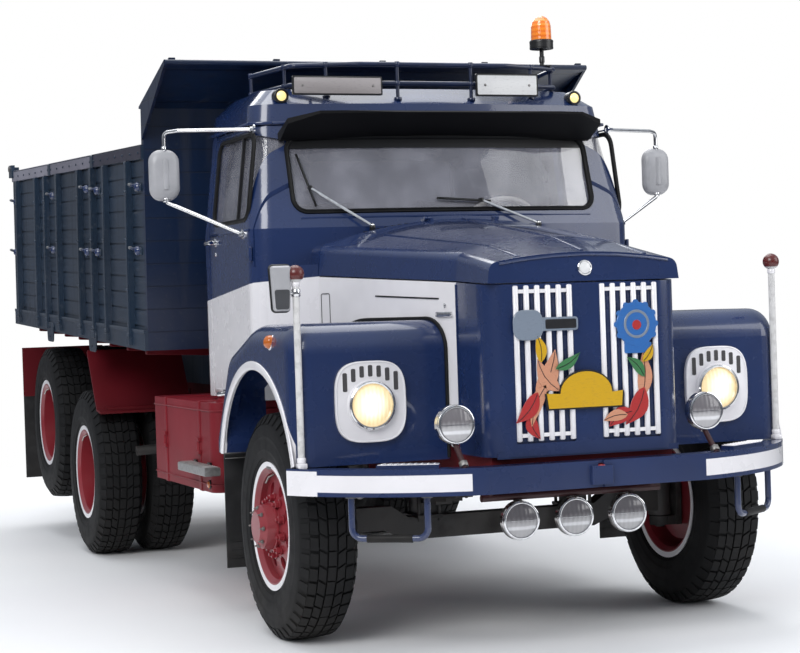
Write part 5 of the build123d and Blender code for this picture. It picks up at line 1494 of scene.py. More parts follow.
def build_bonnet():
    dress("hood_sides", "white")
    dress("hood_lid", "blue")
    lid = Form()
    spine = [(0, y, lid_height(y, 0) + 0.0005) for y in (-0.985, -0.85, -0.7, -0.5, -0.25, 0.0, 0.2, 0.33)]
    lid.sweep(spine, strip(0.009, -0.004, 0.004, 0.003), "blue", up=UP)
    for side in (1, -1):
        crease = [(side * share, y, lid_height(y, share) + 0.0005)
                  for y, share in ((-0.985, 0.3), (-0.85, 0.3), (-0.68, 0.305), (-0.4, 0.36), (-0.1, 0.42),
                                   (0.15, 0.47), (0.33, 0.505))]
        lid.sweep(crease, strip(0.012, -0.005, 0.0025, 0.003), "blue", up=UP)
    nose = [(x, -1.0125, lid_height(-1.01, x) - 0.012) for x in (-0.4, -0.3, -0.15, 0.0, 0.15, 0.3, 0.4)]
    lid.tube(nose, 0.0055, "blue", sides=8, up=AHEAD)
    lid.lathe((0, -1.01, 1.643), (0, -1, 0.08),
              [(0, 0.034), (0.004, 0.034), (0.007, 0.029), (0.005, 0.027), (0.005, 0)], "chrome", 32)
    lid.lathe((0, -1.0145, 1.6433), (0, -1, 0.08), cap(0.0265, 0.003, 0.0045), "plate_white", 28)
    lid.piece("bonnet_lid_trim", "hood_lid", "body_blue", bevel=0.0008)
    for side, hand in SIDES:
        form = Form()
        def skin(y, z, out=0.001):
            return (side * (wall_x(y) + out), y, z)
        line = [skin(y, 1.554 + (y + 0.1) * 0.05, 0.0015) for y in (-0.1, -0.22, -0.34, -0.46, -0.56)]
        form.sweep(line, strip(0.0035, -0.001, 0.002), "black", up=(side, 0, 0))
        form.sweep([skin(-0.655, 1.462, 0.004), skin(-0.6, 1.462, 0.01), skin(-0.545, 1.462, 0.004)],
                   strip(0.011, -0.005, 0.007, 0.004), "chrome", up=(side, 0, 0))
        form.lathe(skin(-0.6, 1.5, 0.0), (side, 0, 0), cap(0.012, 0.004), "chrome", 16)
        hatch = rect(0.262, 0.33, 1.42, 1.575, 0.01, 3)
        form.sweep([skin(y, z, 0.0005) for y, z in dense(hatch, 0.05)], strip(0.0022, -0.001, 0.0022), "grey",
                   closed=True, up=(side, 0, 0))
        low = [skin(y, 1.006, 0.001) for y in (-0.66, -0.4, -0.1, 0.2, 0.34)]
        form.sweep(low, strip(0.006, -0.003, 0.003, 0.002), "white", up=(side, 0, 0))
        seam = [skin(y, 1.58 + 0.0566 * (y + 1.01) + 0.0025, -0.003) for y in (-0.67, -0.4, -0.1, 0.2, 0.34)]
        form.sweep(seam, strip(0.0025, -0.0025, 0.003), "rubber", up=(side, 0, 0))
        front = [(side * 0.4645, -0.6795, z) for z in (0.87, 1.1, 1.35, 1.59)]
        form.tube(front, 0.0035, "blue", sides=8)
        form.piece(f"bonnet_side_trim_{hand}", "chassis", "white_paint", bevel=0.0006)


def build_wings():
    dress("fenders", "fender")
    for side, hand in SIDES:
        form = Form()
        turns = [math.radians(a) for a in range(16, 165, 4)]
        lip = [(side * 1.2005, *on_arch(0.018, t)) for t in turns]
        form.sweep(lip, strip(0.0175, -0.003, 0.0045, 0.003), "white", up=(side, 0, 0))
        bead = [(side * 1.197, *on_arch(0.002, t)) for t in turns]
        form.tube(bead, 0.0065, "white", sides=8, up=(side, 0, 0))
        form.piece(f"wing_lip_{hand}", "chassis", "white_paint", angle=50)
        welt = Form()
        crest = rounded([(-0.6015, 0.835, 0), (-0.6015, 1.4415, 0.1315), (0.04, 1.4415, 0.5),
                         (0.4415, 1.311, 0.1515), (0.5465, 1.14, 0), (0.3, 0.835, 0)], 0, 7)[:-1]
        path = []
        for y, z in crest:
            x = wall_x(y) + 0.006 if y < 0.35 else 0.756 + (y - 0.35) * 1.27
            path.append((side * x, y, z))
        welt.sweep(path, strip(0.013, -0.007, 0.006, 0.005), "rubber", up=(side, 0, 0.01))
        welt.piece(f"wing_welt_{hand}", "chassis", "flap_rubber", angle=60)
        lamp = Form()
        spot = Vector((side * 1.197, -0.29, 1.364))
        toward = Vector((side * 0.97, 0, 0.24)).normalized()
        lamp.lathe(spot - toward * 0.018, toward, [(0, 0.036), (0.014, 0.036), (0.018, 0.032)], "chrome", 28)
        lamp.lathe(spot, toward, [(0, 0.031), (0.012, 0.029), (0.024, 0.02), (0.029, 0.008), (0.03, 0)],
                   "amber", 28)
        lamp.piece(f"wing_lamp_{hand}", "chassis", "amber_plastic", angle=45)


def build_bumper():
    dress("bumper", "bumper")
    dress("marker_poles", "pole")
    form = Form()
    for side in (1, -1):
        pad = [(side * 0.7, -1.01), (side * 0.93, -0.875), (side * 0.88, -0.815), (side * 0.67, -0.95)]
        form.prism(rounded(pad[::side], 0.014, 3), "z", 0.8385, 0.8415, "white", 0.001)
        for k in range(9):
            t = (k + 0.7) / 9.4
            a = Vector((side * (0.7 + 0.23 * t), -1.01 + 0.135 * t, 0.8418))
            b = Vector((side * (0.672 + 0.208 * t), -0.948 + 0.133 * t, 0.8418))
            form.rod(a + (b - a) * 0.12, a + (b - a) * 0.88, 0.003, "white", 6)
        clamp = (side * 1.168, -0.6)
        form.box((clamp[0] - 0.02, clamp[0] + 0.02), (-0.622, -0.578), (0.8235, 0.846), "white", 0.004)
        form.rod((*clamp, 0.846), (*clamp, 0.87), 0.0195, "white", 18, 0.003)
        form.rod((*clamp, 1.6), (*clamp, 1.622), 0.018, "white", 18, 0.003)
        for x, y in ((0.74, -0.965), (1.01, -0.775)):
            form.rod((side * x, y, 0.7), (side * x, y, 0.712), 0.024, "grey", 18, 0.002)
        rung = [(side * (0.74 + 0.27 * t), -0.965 + 0.19 * t, 0.53) for t in (0.2, 0.4, 0.6, 0.8)]
        form.tube(rung, 0.0175, "rubber", sides=12)
    form.lathe((0, -1.113, 0.8015), UP, [(0, 0.016), (0.003, 0.0152), (0.003, 0.0105), (0, 0.0095)],
               "scarlet", 24, ring=True)
    form.piece("bumper_fittings", "chassis", "white_paint", bevel=0.0008, angle=45)
    kerb = Form()
    x, z = -1.236, 1.596
    shell = flared(0.036, 0.046, -0.098, 0.096, 0.014)
    kerb.prism(placed(shell, x, z), "y", -0.622, -0.59, "mirror_back", 0.008)
    glass = flared(0.03, 0.039, -0.09, 0.088, 0.01)
    kerb.prism(placed(glass, x, z), "y", -0.5895, -0.5875, "mirror")
    rim = flared(0.037, 0.047, -0.099, 0.097, 0.015)
    kerb.sweep(upright(rim, -0.592, x, z), circle(0, 0, 0.006, 8), "black", closed=True, up=REAR)
    pad = flared(0.03, 0.034, -0.09, -0.006, 0.01)
    kerb.prism(placed(pad, x, z), "y", -0.6245, -0.6215, "trim", 0.0008)
    kerb.tube([(-1.168, -0.6, 1.575), (-1.196, -0.6, 1.575)], 0.008, "chrome", up=UP)
    kerb.rod((-1.168, -0.6, 1.558), (-1.168, -0.6, 1.592), 0.0195, "chrome", 18, 0.003)
    kerb.piece("kerb_mirror", "chassis", "lamp_chrome", angle=45)


def build_roof():
    dress("roof_rack", "rack")
    dress("beacon", "beacon")
    form = Form()
    for x in (0.8, -0.8):
        lamp_ring(form, (x, 0.6855, 2.562), AHEAD, 0.034, 0.01, "black", 32)
        ribbed_lens(form, (x, 0.686, 2.562), AHEAD, 0.029, 0.014, "roof_lit", 6, 28)
    for left, right, low, top, face in ((-0.762, -0.291, 2.56, 2.655, "plate_grey"),
                                        (0.217, 0.563, 2.56, 2.675, "plate_white")):
        form.prism(rect(left + 0.008, right - 0.008, low + 0.008, top - 0.008, 0.006, 3), "y", 0.6155, 0.6185,
                   face, 0.0008)
        edge = rect(left + 0.006, right - 0.006, low + 0.006, top - 0.006, 0.008, 3)
        form.sweep(upright(edge, 0.617), circle(0, 0, 0.0026, 8), "plate_black", closed=True, up=AHEAD)
        for x in (left + 0.05, right - 0.05):
            form.lathe((x, 0.616, (low + top) / 2), AHEAD, cap(0.007, 0.003, 0.001, 0.0005), "steel", 12)
    for x, y, z in ((0.8, 1.205, 2.602), (0.735, 0.835, 2.606), (0.56, 0.702, 2.56), (0.2, 0.645, 2.548)):
        for side in (1, -1):
            form.rod((side * x, y, z - 0.012), (side * x, y, z + 0.006), 0.02, "rack_blue", 18, 0.002)
            form.rod((side * x, y, 2.612), (side * x, y, 2.636), 0.015, "rack_blue", 16, 0.002)
            form.rod((side * x, y, 2.706), (side * x, y, 2.734), 0.0145, "rack_blue", 16, 0.003)
    form.piece("roof_rack_fittings", "chassis", "body_blue", bevel=0.0006, angle=45)
    lamp = Form()
    for z, steps, profile in (
            (2.864, 40, [(0, 0.063), (0.008, 0.0632), (0.012, 0.06), (0.012, 0.055), (0, 0.055)]),
            (2.828, 40, [(0, 0.05), (0.006, 0.0625), (0.01, 0.0628), (0.01, 0.03), (0, 0.03)]),
            (2.76, 20, [(0, 0.0145), (0.03, 0.0145), (0.034, 0.0115), (0, 0.0115)])):
        lamp.lathe((0.675, 0.8, z), UP, profile, "black", steps, ring=True)
    lamp.piece("beacon_rings", "chassis", "amber_plastic", angle=45)


WIPERS = (
    # spindle x, arm's end, blade's ends
    (-0.445, (-0.722, 0.532, 2.097), (-0.765, 0.598, 2.265), (-0.7, 0.503, 2.005)),
    (0.445, (0.155, 0.466, 2.023), (-0.076, 0.471, 2.035), (0.21, 0.469, 2.017)),
)
BLADE = ((-0.0055, 0.0), (-0.0012, -0.01), (0.0012, -0.01), (0.0055, 0.0), (0.0045, 0.007), (-0.0045, 0.007))


def build_wipers():
    form = Form()
    outward = (0, -1, 0.3)
    for x, arm_end, first, last in WIPERS:
        form.rod((x, 0.411, 1.874), (x, 0.405, 1.905), 0.0145, "black", 20, 0.003)
        form.lathe((x, 0.405, 1.9045), (0, -0.19, 0.98),
                   [(0, 0.011), (0.005, 0.01), (0.008, 0.006), (0.009, 0)], "chrome", 16)
        base, end = Vector((x, 0.404, 1.899)), Vector(arm_end) - Vector((0, 0.014, 0))
        arm = [base, base.lerp(end, 0.12) - Vector((0, 0.003, 0)), base.lerp(end, 0.5), end]
        form.sweep(arm, strip(0.007, -0.003, 0.003, 0.0025), "chrome", up=outward)
        blade = []
        for k in range(9):
            spot = Vector(first).lerp(Vector(last), k / 8)
            blade.append(Vector((spot.x, screen_y(spot.x, spot.z) - 0.004, spot.z)))
        form.sweep(blade, BLADE, "rubber", up=outward)
        form.sweep([spot - Vector((0, 0.007, 0)) for spot in blade[1:-1]],
                   strip(0.0035, -0.0015, 0.0025, 0.001), "black", up=outward)
        x, y, z = arm_end
        form.box((x - 0.012, x + 0.012), (y - 0.02, y - 0.004), (z - 0.01, z + 0.01), "black", 0.003)
    form.piece("wiper_dress", "chassis", "visor_black", replaces=("wipers",), angle=45)


# ---------------------------------------------------------------- frame, axles and boxes
def rivet(finish_name, side):
    """Domed head that stands off a flank."""
    radius = sizes().rivet
    shape = Form()
    profile = [(0, radius), (radius * 0.35, radius * 0.85), (radius * 0.55, radius * 0.45), (radius * 0.6, 0)]
    shape.lathe((0, 0, 0), (side, 0, 0), profile, finish_name, 10)
    return shape


SHAFT_FRONT = (0.975, 0.8)  # y and z where the propeller shaft leaves the gearbox
SHAFT_FALL = (0.8 - 0.54) / (3.55 - 0.975)


def build_frame():
    dress("chassis_frame cross_members", "red")
    dress("leaf_springs", "spring")
    dress("front_axle drive_axle tag_axle knuckle_left knuckle_right", "axle")
    dress("engine_block", "engine")
    rows = Form()
    for side in (1, -1):
        shape = rivet("red", side)
        for z in (0.765, 0.938):
            rows.take_mesh(repeated(shape, 24, (0, 0.25, 0)), (side * 0.4295, -0.02, z))
        for y in (2.4, 3.05, 3.4, 4.1, 4.85, 5.6):
            rows.box((side * 0.4295, side * 0.436), (y - 0.028, y + 0.028), (0.945, 1.01), "red", 0.002)
            for z in (0.962, 0.994):
                rows.lathe((side * 0.436, y, z), (side, 0, 0), cap(0.011, 0.008, 0.0005, 0), "steel", 6)
    rows.piece("frame_rivets", "chassis", "chassis_paint", bevel=0.0)
    straps = Form()
    for side in (1, -1):
        packs = ((0.0, 0.34, 0.44, 0.5, 0.658), (DRIVE_Y, 0.447, 0.543, 0.545, 0.69),
                 (TAG_Y, 0.34, 0.44, 0.64, 0.722))
        for y, inner, outer, low, top in packs:
            for dy in (-0.085, 0.085) if y < 1 else (-0.08, 0.08):
                path = [(side * x, y + dy, z)
                        for x, z in ((inner, low), (inner, top), (outer, top), (outer, low))]
                straps.tube(path, 0.0085, "spring", bend=0.022, sides=8, up=REAR)
            straps.box((side * (inner - 0.012), side * (outer + 0.012)), (y - 0.105, y + 0.105),
                       (low + 0.014, low + 0.03), "spring", 0.003)
        for y, z, inner, outer in ((-0.65, 0.69, 0.35, 0.43), (0.65, 0.69, 0.35, 0.43),
                                   (3.15, 0.77, 0.455, 0.535), (4.45, 0.77, 0.455, 0.535)):
            for x in (inner - 0.007, outer + 0.001):
                plate = rect(y - 0.032, y + 0.032, z - 0.036, z + 0.06, 0.028, 5)
                straps.prism(plate, "x", side * x, side * (x + 0.006), "spring", 0.001)
                straps.lathe((side * (x + 0.0055), y, z), (side, 0, 0),
                             [(0, 0.016), (0.011, 0.0155), (0.013, 0.012), (0.013, 0)], "steel", 6)
    straps.piece("spring_fittings", "chassis", "spring_steel", angle=45)
    drive = Form()
    ring = Form()
    ring.lathe((0, 0, 0.165), LEFT, cap(0.01, 0.01, 0.0005), "steel", 6)
    cover = ring_of(ring, 12)
    cover.transform(Matrix.Rotation(math.radians(90), 4, "Z"))
    drive.take_mesh(cover, (0, DRIVE_Y + 0.128, DRIVE_Z))
    drive.lathe((0, DRIVE_Y + 0.06, DRIVE_Z), REAR,
                [(0, 0.18), (0.068, 0.178), (0.074, 0.15), (0.105, 0.12), (0.122, 0.06), (0.125, 0)], "axle",
                40)
    drive.lathe((0, 3.46, 0.54), AHEAD, [(0.0, 0.088), (0.012, 0.088), (0.016, 0.06), (0.03, 0.056)], "axle",
                28)
    for y in (1.05, 2.3, 3.42):
        z = SHAFT_FRONT[1] - (y - SHAFT_FRONT[0]) * SHAFT_FALL
        drive.lathe((0, y - 0.03, z + 0.0005), (0, 1, -0.1),
                    [(0, 0.06), (0.055, 0.06), (0.058, 0.05), (0.058, 0.04), (0, 0.04)], "steel", 24,
                    ring=True)
    drive.piece("drive_line_fittings", "chassis", "axle_iron", angle=45)
    tow = Form()
    tow.box((-0.15, 0.15), (5.95, 5.9565), (0.775, 0.925), "red", 0.003)
    for x in (-0.12, 0.12):
        for z in (0.8, 0.9):
            tow.lathe((x, 5.9565, z), REAR, cap(0.014, 0.01, 0.0005), "steel", 6)
    tow.piece("tow_plate", "chassis", "chassis_paint", bevel=0.001)


def belted(form, y, xs, zs, corner, finish_name):
    """Strap round a box, across the truck."""
    middle = Vector(((xs[0] + xs[1]) / 2, y, (zs[0] + zs[1]) / 2))
    path = upright(dense(rect(*xs, *zs, corner), 0.12), y)
    form.sweep(path, strip(0.022, -0.004, 0.004, 0.002), finish_name, closed=True,
               up=lambda p: Vector((p.x - middle.x, 0, p.z - middle.z)))


AIR_TANK_X, SILENCER_X, DRUM_Z = 0.78, -0.7, 0.8
TANK_FRONT_Y, TANK_TOP_Z = 1.02, 1.05


def build_boxes():
    dress("fuel_tank", "tank")
    dress("side_boxes", "grey")
    tank = Form()
    for y in (1.15, 1.85):
        belted(tank, y, (-1.151, -0.599), (0.599, 1.051), 0.004, "tank")
        tank.rod((-1.158, y, 0.8), (-1.158, y, 0.85), 0.008, "tank", 8)
        tank.box((-1.166, -1.15), (y - 0.026, y + 0.026), (0.782, 0.802), "tank", 0.003)
        tank.box((-1.166, -1.15), (y - 0.026, y + 0.026), (0.848, 0.868), "tank", 0.003)
    for z in (0.64, 1.01):
        seam = [(a, b, z) for a, b in dense(rect(-1.1515, -0.5985, 0.8985, 2.1515, 0.0615, 8), 0.25)]
        tank.sweep(seam, circle(0, 0, 0.0045, 8), "tank", closed=True)
    tank.lathe((-1.04, TANK_FRONT_Y, TANK_TOP_Z), UP,
               [(-0.004, 0.052), (0.014, 0.05), (0.018, 0.04), (0.03, 0.04)], "tank", 32)
    tank.lathe((-1.04, TANK_FRONT_Y, TANK_TOP_Z + 0.028), UP,
               [(0, 0.046), (0.003, 0.048), (0.019, 0.047), (0.024, 0.04), (0.026, 0.0)], "chrome", 32)
    tank.box((-1.046, -1.034), (0.985, 1.055), (1.102, 1.112), "chrome", 0.003)
    tank.lathe((-0.875, 1.5, 0.6), DOWN, cap(0.02, 0.012), "steel", 6)
    tank.lathe((-1.15, 0.975, 0.64), RIGHT, [(0, 0.024), (0.006, 0.023), (0.008, 0.02)], "black", 20)
    tank.lathe((-1.157, 0.975, 0.64), RIGHT, cap(0.019, 0.006, 0.003, 0.003), "amber", 20)
    tank.piece("fuel_tank_fittings", "chassis", "tank_grey", angle=45)
    step = Form()
    step.box((-1.24, -1.16), (0.74, 1.27), (0.7, 0.742), "satin", 0.004)
    for k in range(12):
        step.rod((-1.232, 0.765 + 0.044 * k, 0.7425), (-1.168, 0.765 + 0.044 * k, 0.7425), 0.0035, "satin", 6)
    for y in (0.96, 1.23):
        step.box((-1.162, -1.149), (y - 0.025, y + 0.025), (0.69, 0.752), "black", 0.002)
    step.piece("tank_step", "chassis", "lamp_chrome", angle=45)
    boxes = Form()
    lid = [(a, b, 0.955) for a, b in dense(rect(0.5985, 1.0815, 0.9485, 1.6015, 0.0265, 6), 0.25)]
    boxes.sweep(lid, rect(-0.003, 0.0035, -0.012, 0.012, 0.002, 2), "grey", closed=True)
    for y in (1.1, 1.45):
        boxes.box((1.0795, 1.088), (y - 0.016, y + 0.016), (0.89, 0.972), "steel", 0.003)
        boxes.tube([(1.09, y - 0.012, 0.9), (1.094, y - 0.012, 0.93), (1.094, y + 0.012, 0.93),
                    (1.09, y + 0.012, 0.9)], 0.003, "chrome", sides=6, up=UP)
    boxes.box((1.0795, 1.083), (1.02, 1.53), (0.7, 0.85), "grey", 0.003)
    for y in (1.82, 2.32):
        boxes.lathe((AIR_TANK_X, y, DRUM_Z), REAR, hoop(0.02, 0.139, 0.144), "steel", 44, ring=True)
    for y, toward in ((1.72, -1), (2.42, 1)):
        dome = [(-0.004, 0.1405), (0.01, 0.134), (0.022, 0.105), (0.029, 0.06), (0.031, 0)]
        boxes.lathe((AIR_TANK_X, y, DRUM_Z), (0, toward, 0), dome, "grey", 44)
    boxes.lathe((AIR_TANK_X, 2.07, 0.66), DOWN, [(-0.003, 0.018), (0.014, 0.016), (0.015, 0)], "steel", 6)
    for y, toward in ((2.24, -1), (2.9, 1)):
        boxes.lathe((SILENCER_X, y, DRUM_Z), (0, toward, 0),
                    [(-0.012, 0.1225), (0.006, 0.1225), (0.012, 0.112), (0.018, 0.05), (0.018, 0)], "steel",
                    40)
    for y in (2.42, 2.72):
        boxes.lathe((SILENCER_X, y, DRUM_Z), REAR, hoop(0.014, 0.1195, 0.1235), "steel", 40, ring=True)
    boxes.tube([(-0.7, 2.89, 0.77), (-0.7, 3.02, 0.735), (-0.86, 3.11, 0.69), (-1.03, 3.12, 0.68)], 0.03,
               "spring", bend=0.09, sides=16)
    boxes.piece("side_box_fittings", "chassis", "tank_grey", angle=45)


def build_tail():
    dress("rear_mudguards", "red")
    dress("mud_flaps", "flap")
    dress("tail_lamps", "tail")
    form = Form()
    for side in (1, -1):
        edge = upright(rect(-0.112, 0.112, -0.047, 0.047, 0.016), 6.0495, side * 0.9, 1.045)
        form.sweep(edge, strip(0.003, -0.01, 0.003), "chrome", closed=True, up=REAR)
        form.box((side * 0.958 - 0.002, side * 0.958 + 0.002), (6.0485, 6.0515), (1.001, 1.089), "chrome")
        for x in (0.815, 0.985):
            form.lathe((side * x, 6.05, 1.045), REAR, cap(0.006, 0.003, 0.001, 0.0005), "steel", 10)
        form.lathe((side * 1.12, 6.014, 1.24), REAR,
                   [(0, 0.034), (0.008, 0.034), (0.011, 0.028), (0.009, 0.026)], "chrome", 28)
        form.lathe((side * 1.12, 6.0225, 1.24), REAR, cap(0.026, 0.004, 0.006), "tail", 24)
        for x in (0.66, 0.9, 1.14):
            form.lathe((side * x, 6.012, 0.9), REAR, cap(0.012, 0.006, 0.0005), "steel", 6)
        form.box((side * 0.61, side * 1.19), (6.0118, 6.016), (0.88, 0.925), "steel", 0.002)
        top = [(side * 0.604, 3.6645, 1.285), (side * 1.196, 3.6645, 1.285)]
        form.tube(top, 0.0085, "red", sides=8)
        form.tube([(side * 0.604, 3.3295, 0.9105), (side * 1.196, 3.3295, 0.9105)], 0.0085, "red", sides=8)
    form.prism(rect(0.64, 1.06, 1.13, 1.255, 0.01, 3), "y", 6.014, 6.0165, "plate_white", 0.0008)
    edge = rect(0.642, 1.058, 1.132, 1.253, 0.01, 3)
    form.sweep(upright(edge, 6.0165), circle(0, 0, 0.0028, 8), "plate_black", closed=True, up=REAR)
    form.piece("tail_fittings", "chassis", "red_plastic", angle=45)
    flaps = Form()
    for side in (1, -1):
        for x in (0.92, 1.015, 1.11):
            flaps.lathe((side * x, 0.7, 0.8), AHEAD, cap(0.011, 0.005, 0.0005), "steel", 6)
        flaps.box((side * 0.884, side * 1.146), (0.6965, 0.7002), (0.785, 0.815), "steel", 0.001)
        for z in (0.3, 0.34, 0.38):
            flaps.rod((side * 0.9, 0.6995, z), (side * 1.13, 0.6995, z), 0.004, "flap", 6)
    flaps.piece("flap_fittings", "chassis", "flap_rubber", angle=45)


# ---------------------------------------------------------------- tipping body
def in_lines(y, z):
    """(along, up) in the tipping body's lines of a side view place."""
    c, s = math.cos(BODY_RISE), math.sin(BODY_RISE)
    return (y - BODY_FRONT) * c + (z - BODY_LOW) * s, -(y - BODY_FRONT) * s + (z - BODY_LOW) * c


LATCHES = ((2.06, 2.21), (2.1, 1.86), (3.12, 2.26), (3.15, 1.89), (3.42, 2.29), (3.46, 1.905), (4.53, 2.32),
           (4.56, 1.96), (5.95, 2.365), (6.01, 2.0))


RIVET_HEAD = ((0, 0.0105), (0.004, 0.0095), (0.007, 0.005), (0.0075, 0))


def build_tipper():
    dress("tipper_floor tipper_sides tailgate", "body")
    dress("tipper_front", "headboard")
    dress("cylinder_barrel", "grey")
    dress("cylinder_rod", "ram")
    for side, hand in SIDES:
        form = Form(TIPPER_LINES)
        for place in STAKES:
            along = (place - BODY_FRONT) / math.cos(BODY_RISE)
            form.prism(rect(along - 0.02, along + 0.02, 0.03, 1.046, 0.004, 2), "x",
                       side * 1.2345, side * 1.24, "body", 0.001)
            for up in (0.08, 0.33, 0.61, 0.88):
                form.lathe((side * 1.24, along, up), (side, 0, 0), RIVET_HEAD, "body", 12)
            form.box((side * 1.204, side * 1.244), (along - 0.038, along + 0.038), (0.018, 0.06), "body",
                     0.003)
        form.piece(f"stake_fittings_{hand}", "tipper", "body_blue", angle=45)
        bands = Form(TIPPER_LINES)
        # Top boards in three lengths; their colours, lighter to the rear and darker to the front, are painted
        # light and shade.
        for start, end, board in ((0.006, 1.272, "board_front_painted_shade"), (1.282, 2.646, "board_mid_painted_light"),
                                  (2.656, 4.134, "board_rear_painted_light")):
            bands.box((side * 1.2185, side * 1.2225), (start, end), (1.052, 1.12), board, 0.002)
            bands.box((side * 1.165, side * 1.2225), (start, end), (1.1245, 1.129), board, 0.002)
            for k in range(7):
                along = start + 0.05 + (end - start - 0.1) * k / 6
                bands.lathe((side * 1.2225, along, 1.086), (side, 0, 0),
                            [(0, 0.0085), (0.0035, 0.008), (0.006, 0.004), (0.0063, 0)], "body", 10)
        bands.box((side * 1.2225, side * 1.2265), (0.006, 4.134), (0.092, 0.112), "body", 0.0015)
        for start in (1.276, 2.65):
            bands.box((side * 1.2185, side * 1.23), (start - 0.03, start + 0.032), (1.046, 1.124), "body",
                      0.003)
        bands.piece(f"top_boards_{hand}", "tipper", "body_blue", angle=45)
        hooks = Form(TIPPER_LINES)
        for y, z in LATCHES:
            along, up = in_lines(y, z)
            along = min(along, 4.085)
            hooks.prism(rect(along - 0.055, along + 0.085, up - 0.026, up + 0.02, 0.01, 3), "x",
                        side * 1.2045, side * 1.214, "body", 0.002)
            hooks.lathe((side * 1.213, along, up), (side, 0, 0),
                        [(0, 0.026), (0.014, 0.024), (0.022, 0.016), (0.024, 0)], "blue", 16)
            hooks.tube([(side * 1.218, along - 0.01, up + 0.006), (side * 1.234, along + 0.02, up + 0.01),
                        (side * 1.234, along + 0.105, up + 0.014)], 0.01, "rack_blue", bend=0.014, sides=8,
                       up=UP)
            hooks.tube([(side * 1.236, along + 0.07, up + 0.015), (side * 1.236, along + 0.118, up + 0.016)],
                       0.0095, "satin", sides=8, up=UP)
        for y in (3.33, 4.7):
            along, _ = in_lines(y, BODY_LOW + (y - BODY_FRONT) * BODY_SLOPE)
            tongue = [(along - 0.085, -0.07), (along + 0.085, -0.07), (along + 0.11, 0.06),
                      (along - 0.11, 0.06)]
            hooks.prism(rounded(tongue, 0.03, 5), "x", side * 1.2225, side * 1.234, "body", 0.002)
            for lift in (-0.035, 0.03):
                hooks.lathe((side * 1.2338, along, lift), (side, 0, 0), cap(0.011, 0.006, 0.0005), "body", 6)
        hooks.piece(f"side_latches_{hand}", "tipper", "body_blue", angle=45)
        hinge = Form(TIPPER_LINES)
        hinge.lathe((side * 1.236, 4.16, 1.145), (side, 0, 0),
                    [(-0.002, 0.022), (0.003, 0.022), (0.006, 0.017), (0.006, 0)], "steel", 20)
        hinge.piece(f"gate_hinge_cap_{hand}", "tailgate", "body_blue", angle=45)
    front = Form(TIPPER_LINES)
    for x in (-1.17, -0.6, 0.0, 0.6, 1.17):
        rib = [(-0.535, 1.5375), (0.035, 1.3395), (0.035, 1.3555), (-0.535, 1.5545)]
        front.prism(rib, "x", x - 0.018, x + 0.018, "headboard", 0.001)
    front.tube([(-1.212, -0.545, 1.529), (1.212, -0.545, 1.529)], 0.015, "headboard", sides=12)
    front.piece("headboard_ribs", "tipper", "body_blue", angle=45)
    under = Form(TIPPER_LINES)
    for k in range(8):
        along = 0.12 + 0.46 * k
        for side in (1, -1):
            taper = [(side * a, b)
                     for a, b in ((0.5015, -0.06), (0.5015, 0.0005), (1.19, 0.0005), (1.19, -0.026))]
            under.prism(rounded(taper[::side], 0.004, 2), "y", along - 0.022, along + 0.022, "red", 0.002)
    under.piece("floor_bearers", "tipper", "chassis_paint", angle=45)
    load = Form(TIPPER_LINES)
    load.box((-1.16, 1.16), (0.054, 4.134), (0.0552, 0.0592), "load", 0.0)
    for side in (1, -1):
        for number in range(6):
            up = 0.3 + 0.14 * number
            load.box((side * 1.1655, side * 1.1625), (0.056, 4.132), (up - 0.003, up + 0.003), "body")
    load.piece("load_floor", "tipper", "body_blue")
    gate = Form(TIPPER_LINES)
    for x in (-0.8, -0.27, 0.27, 0.8):
        for up in (0.14, 0.42, 0.7, 0.98):
            for shift in (-0.048, 0.048):
                gate.lathe((x + shift, 4.1855, up), REAR, RIVET_HEAD, "body", 12)
    for up in (0.3, 0.56, 0.82):
        for first, last in ((-1.19, -0.84), (-0.76, -0.31), (-0.23, 0.23), (0.31, 0.76), (0.84, 1.19)):
            gate.box((first, last), (4.1855, 4.1905), (up - 0.012, up + 0.012), "body", 0.002)
    for side in (1, -1):
        gate.box((side * 1.12 - 0.028, side * 1.12 + 0.028), (4.1855, 4.1985), (0.075, 0.17), "satin", 0.003)
        gate.tube([(side * 1.12, 4.192, 0.085), (side * 1.12, 4.199, 0.11), (side * 1.12, 4.199, 0.15),
                   (side * 1.12, 4.192, 0.165)], 0.008, "satin", bend=0.012, sides=8, up=LEFT)
    gate.piece("tailgate_fittings", "tailgate", "body_blue", angle=45)
    foot, eye = Vector((0, 2.95, 0.84)), Vector((0, 4.45, 1.18))
    line = (eye - foot).normalized()
    mouth = foot + line * ((eye - foot).length - 0.12)
    barrel = Form()
    barrel.lathe(mouth, line, [(-0.035, 0.0655), (0.001, 0.0655), (0.004, 0.06), (0.004, 0.043),
                               (-0.035, 0.043)], "steel", 32, ring=True)
    barrel.lathe(foot + line * 0.09, line, [(0, 0.061), (0.03, 0.0655), (0.045, 0.0655), (0.05, 0.061)],
                 "steel", 32)
    barrel.piece("cylinder_collars", "cylinder_barrel", "tank_grey", angle=45)


# ---------------------------------------------------------------- camera, light and floor
CAMERA_PLACE = (-3.7248, -8.6268, 1.4994)
CAMERA_TURN = (20.6582, -0.5624, -1.8807)
LENS = 88.68


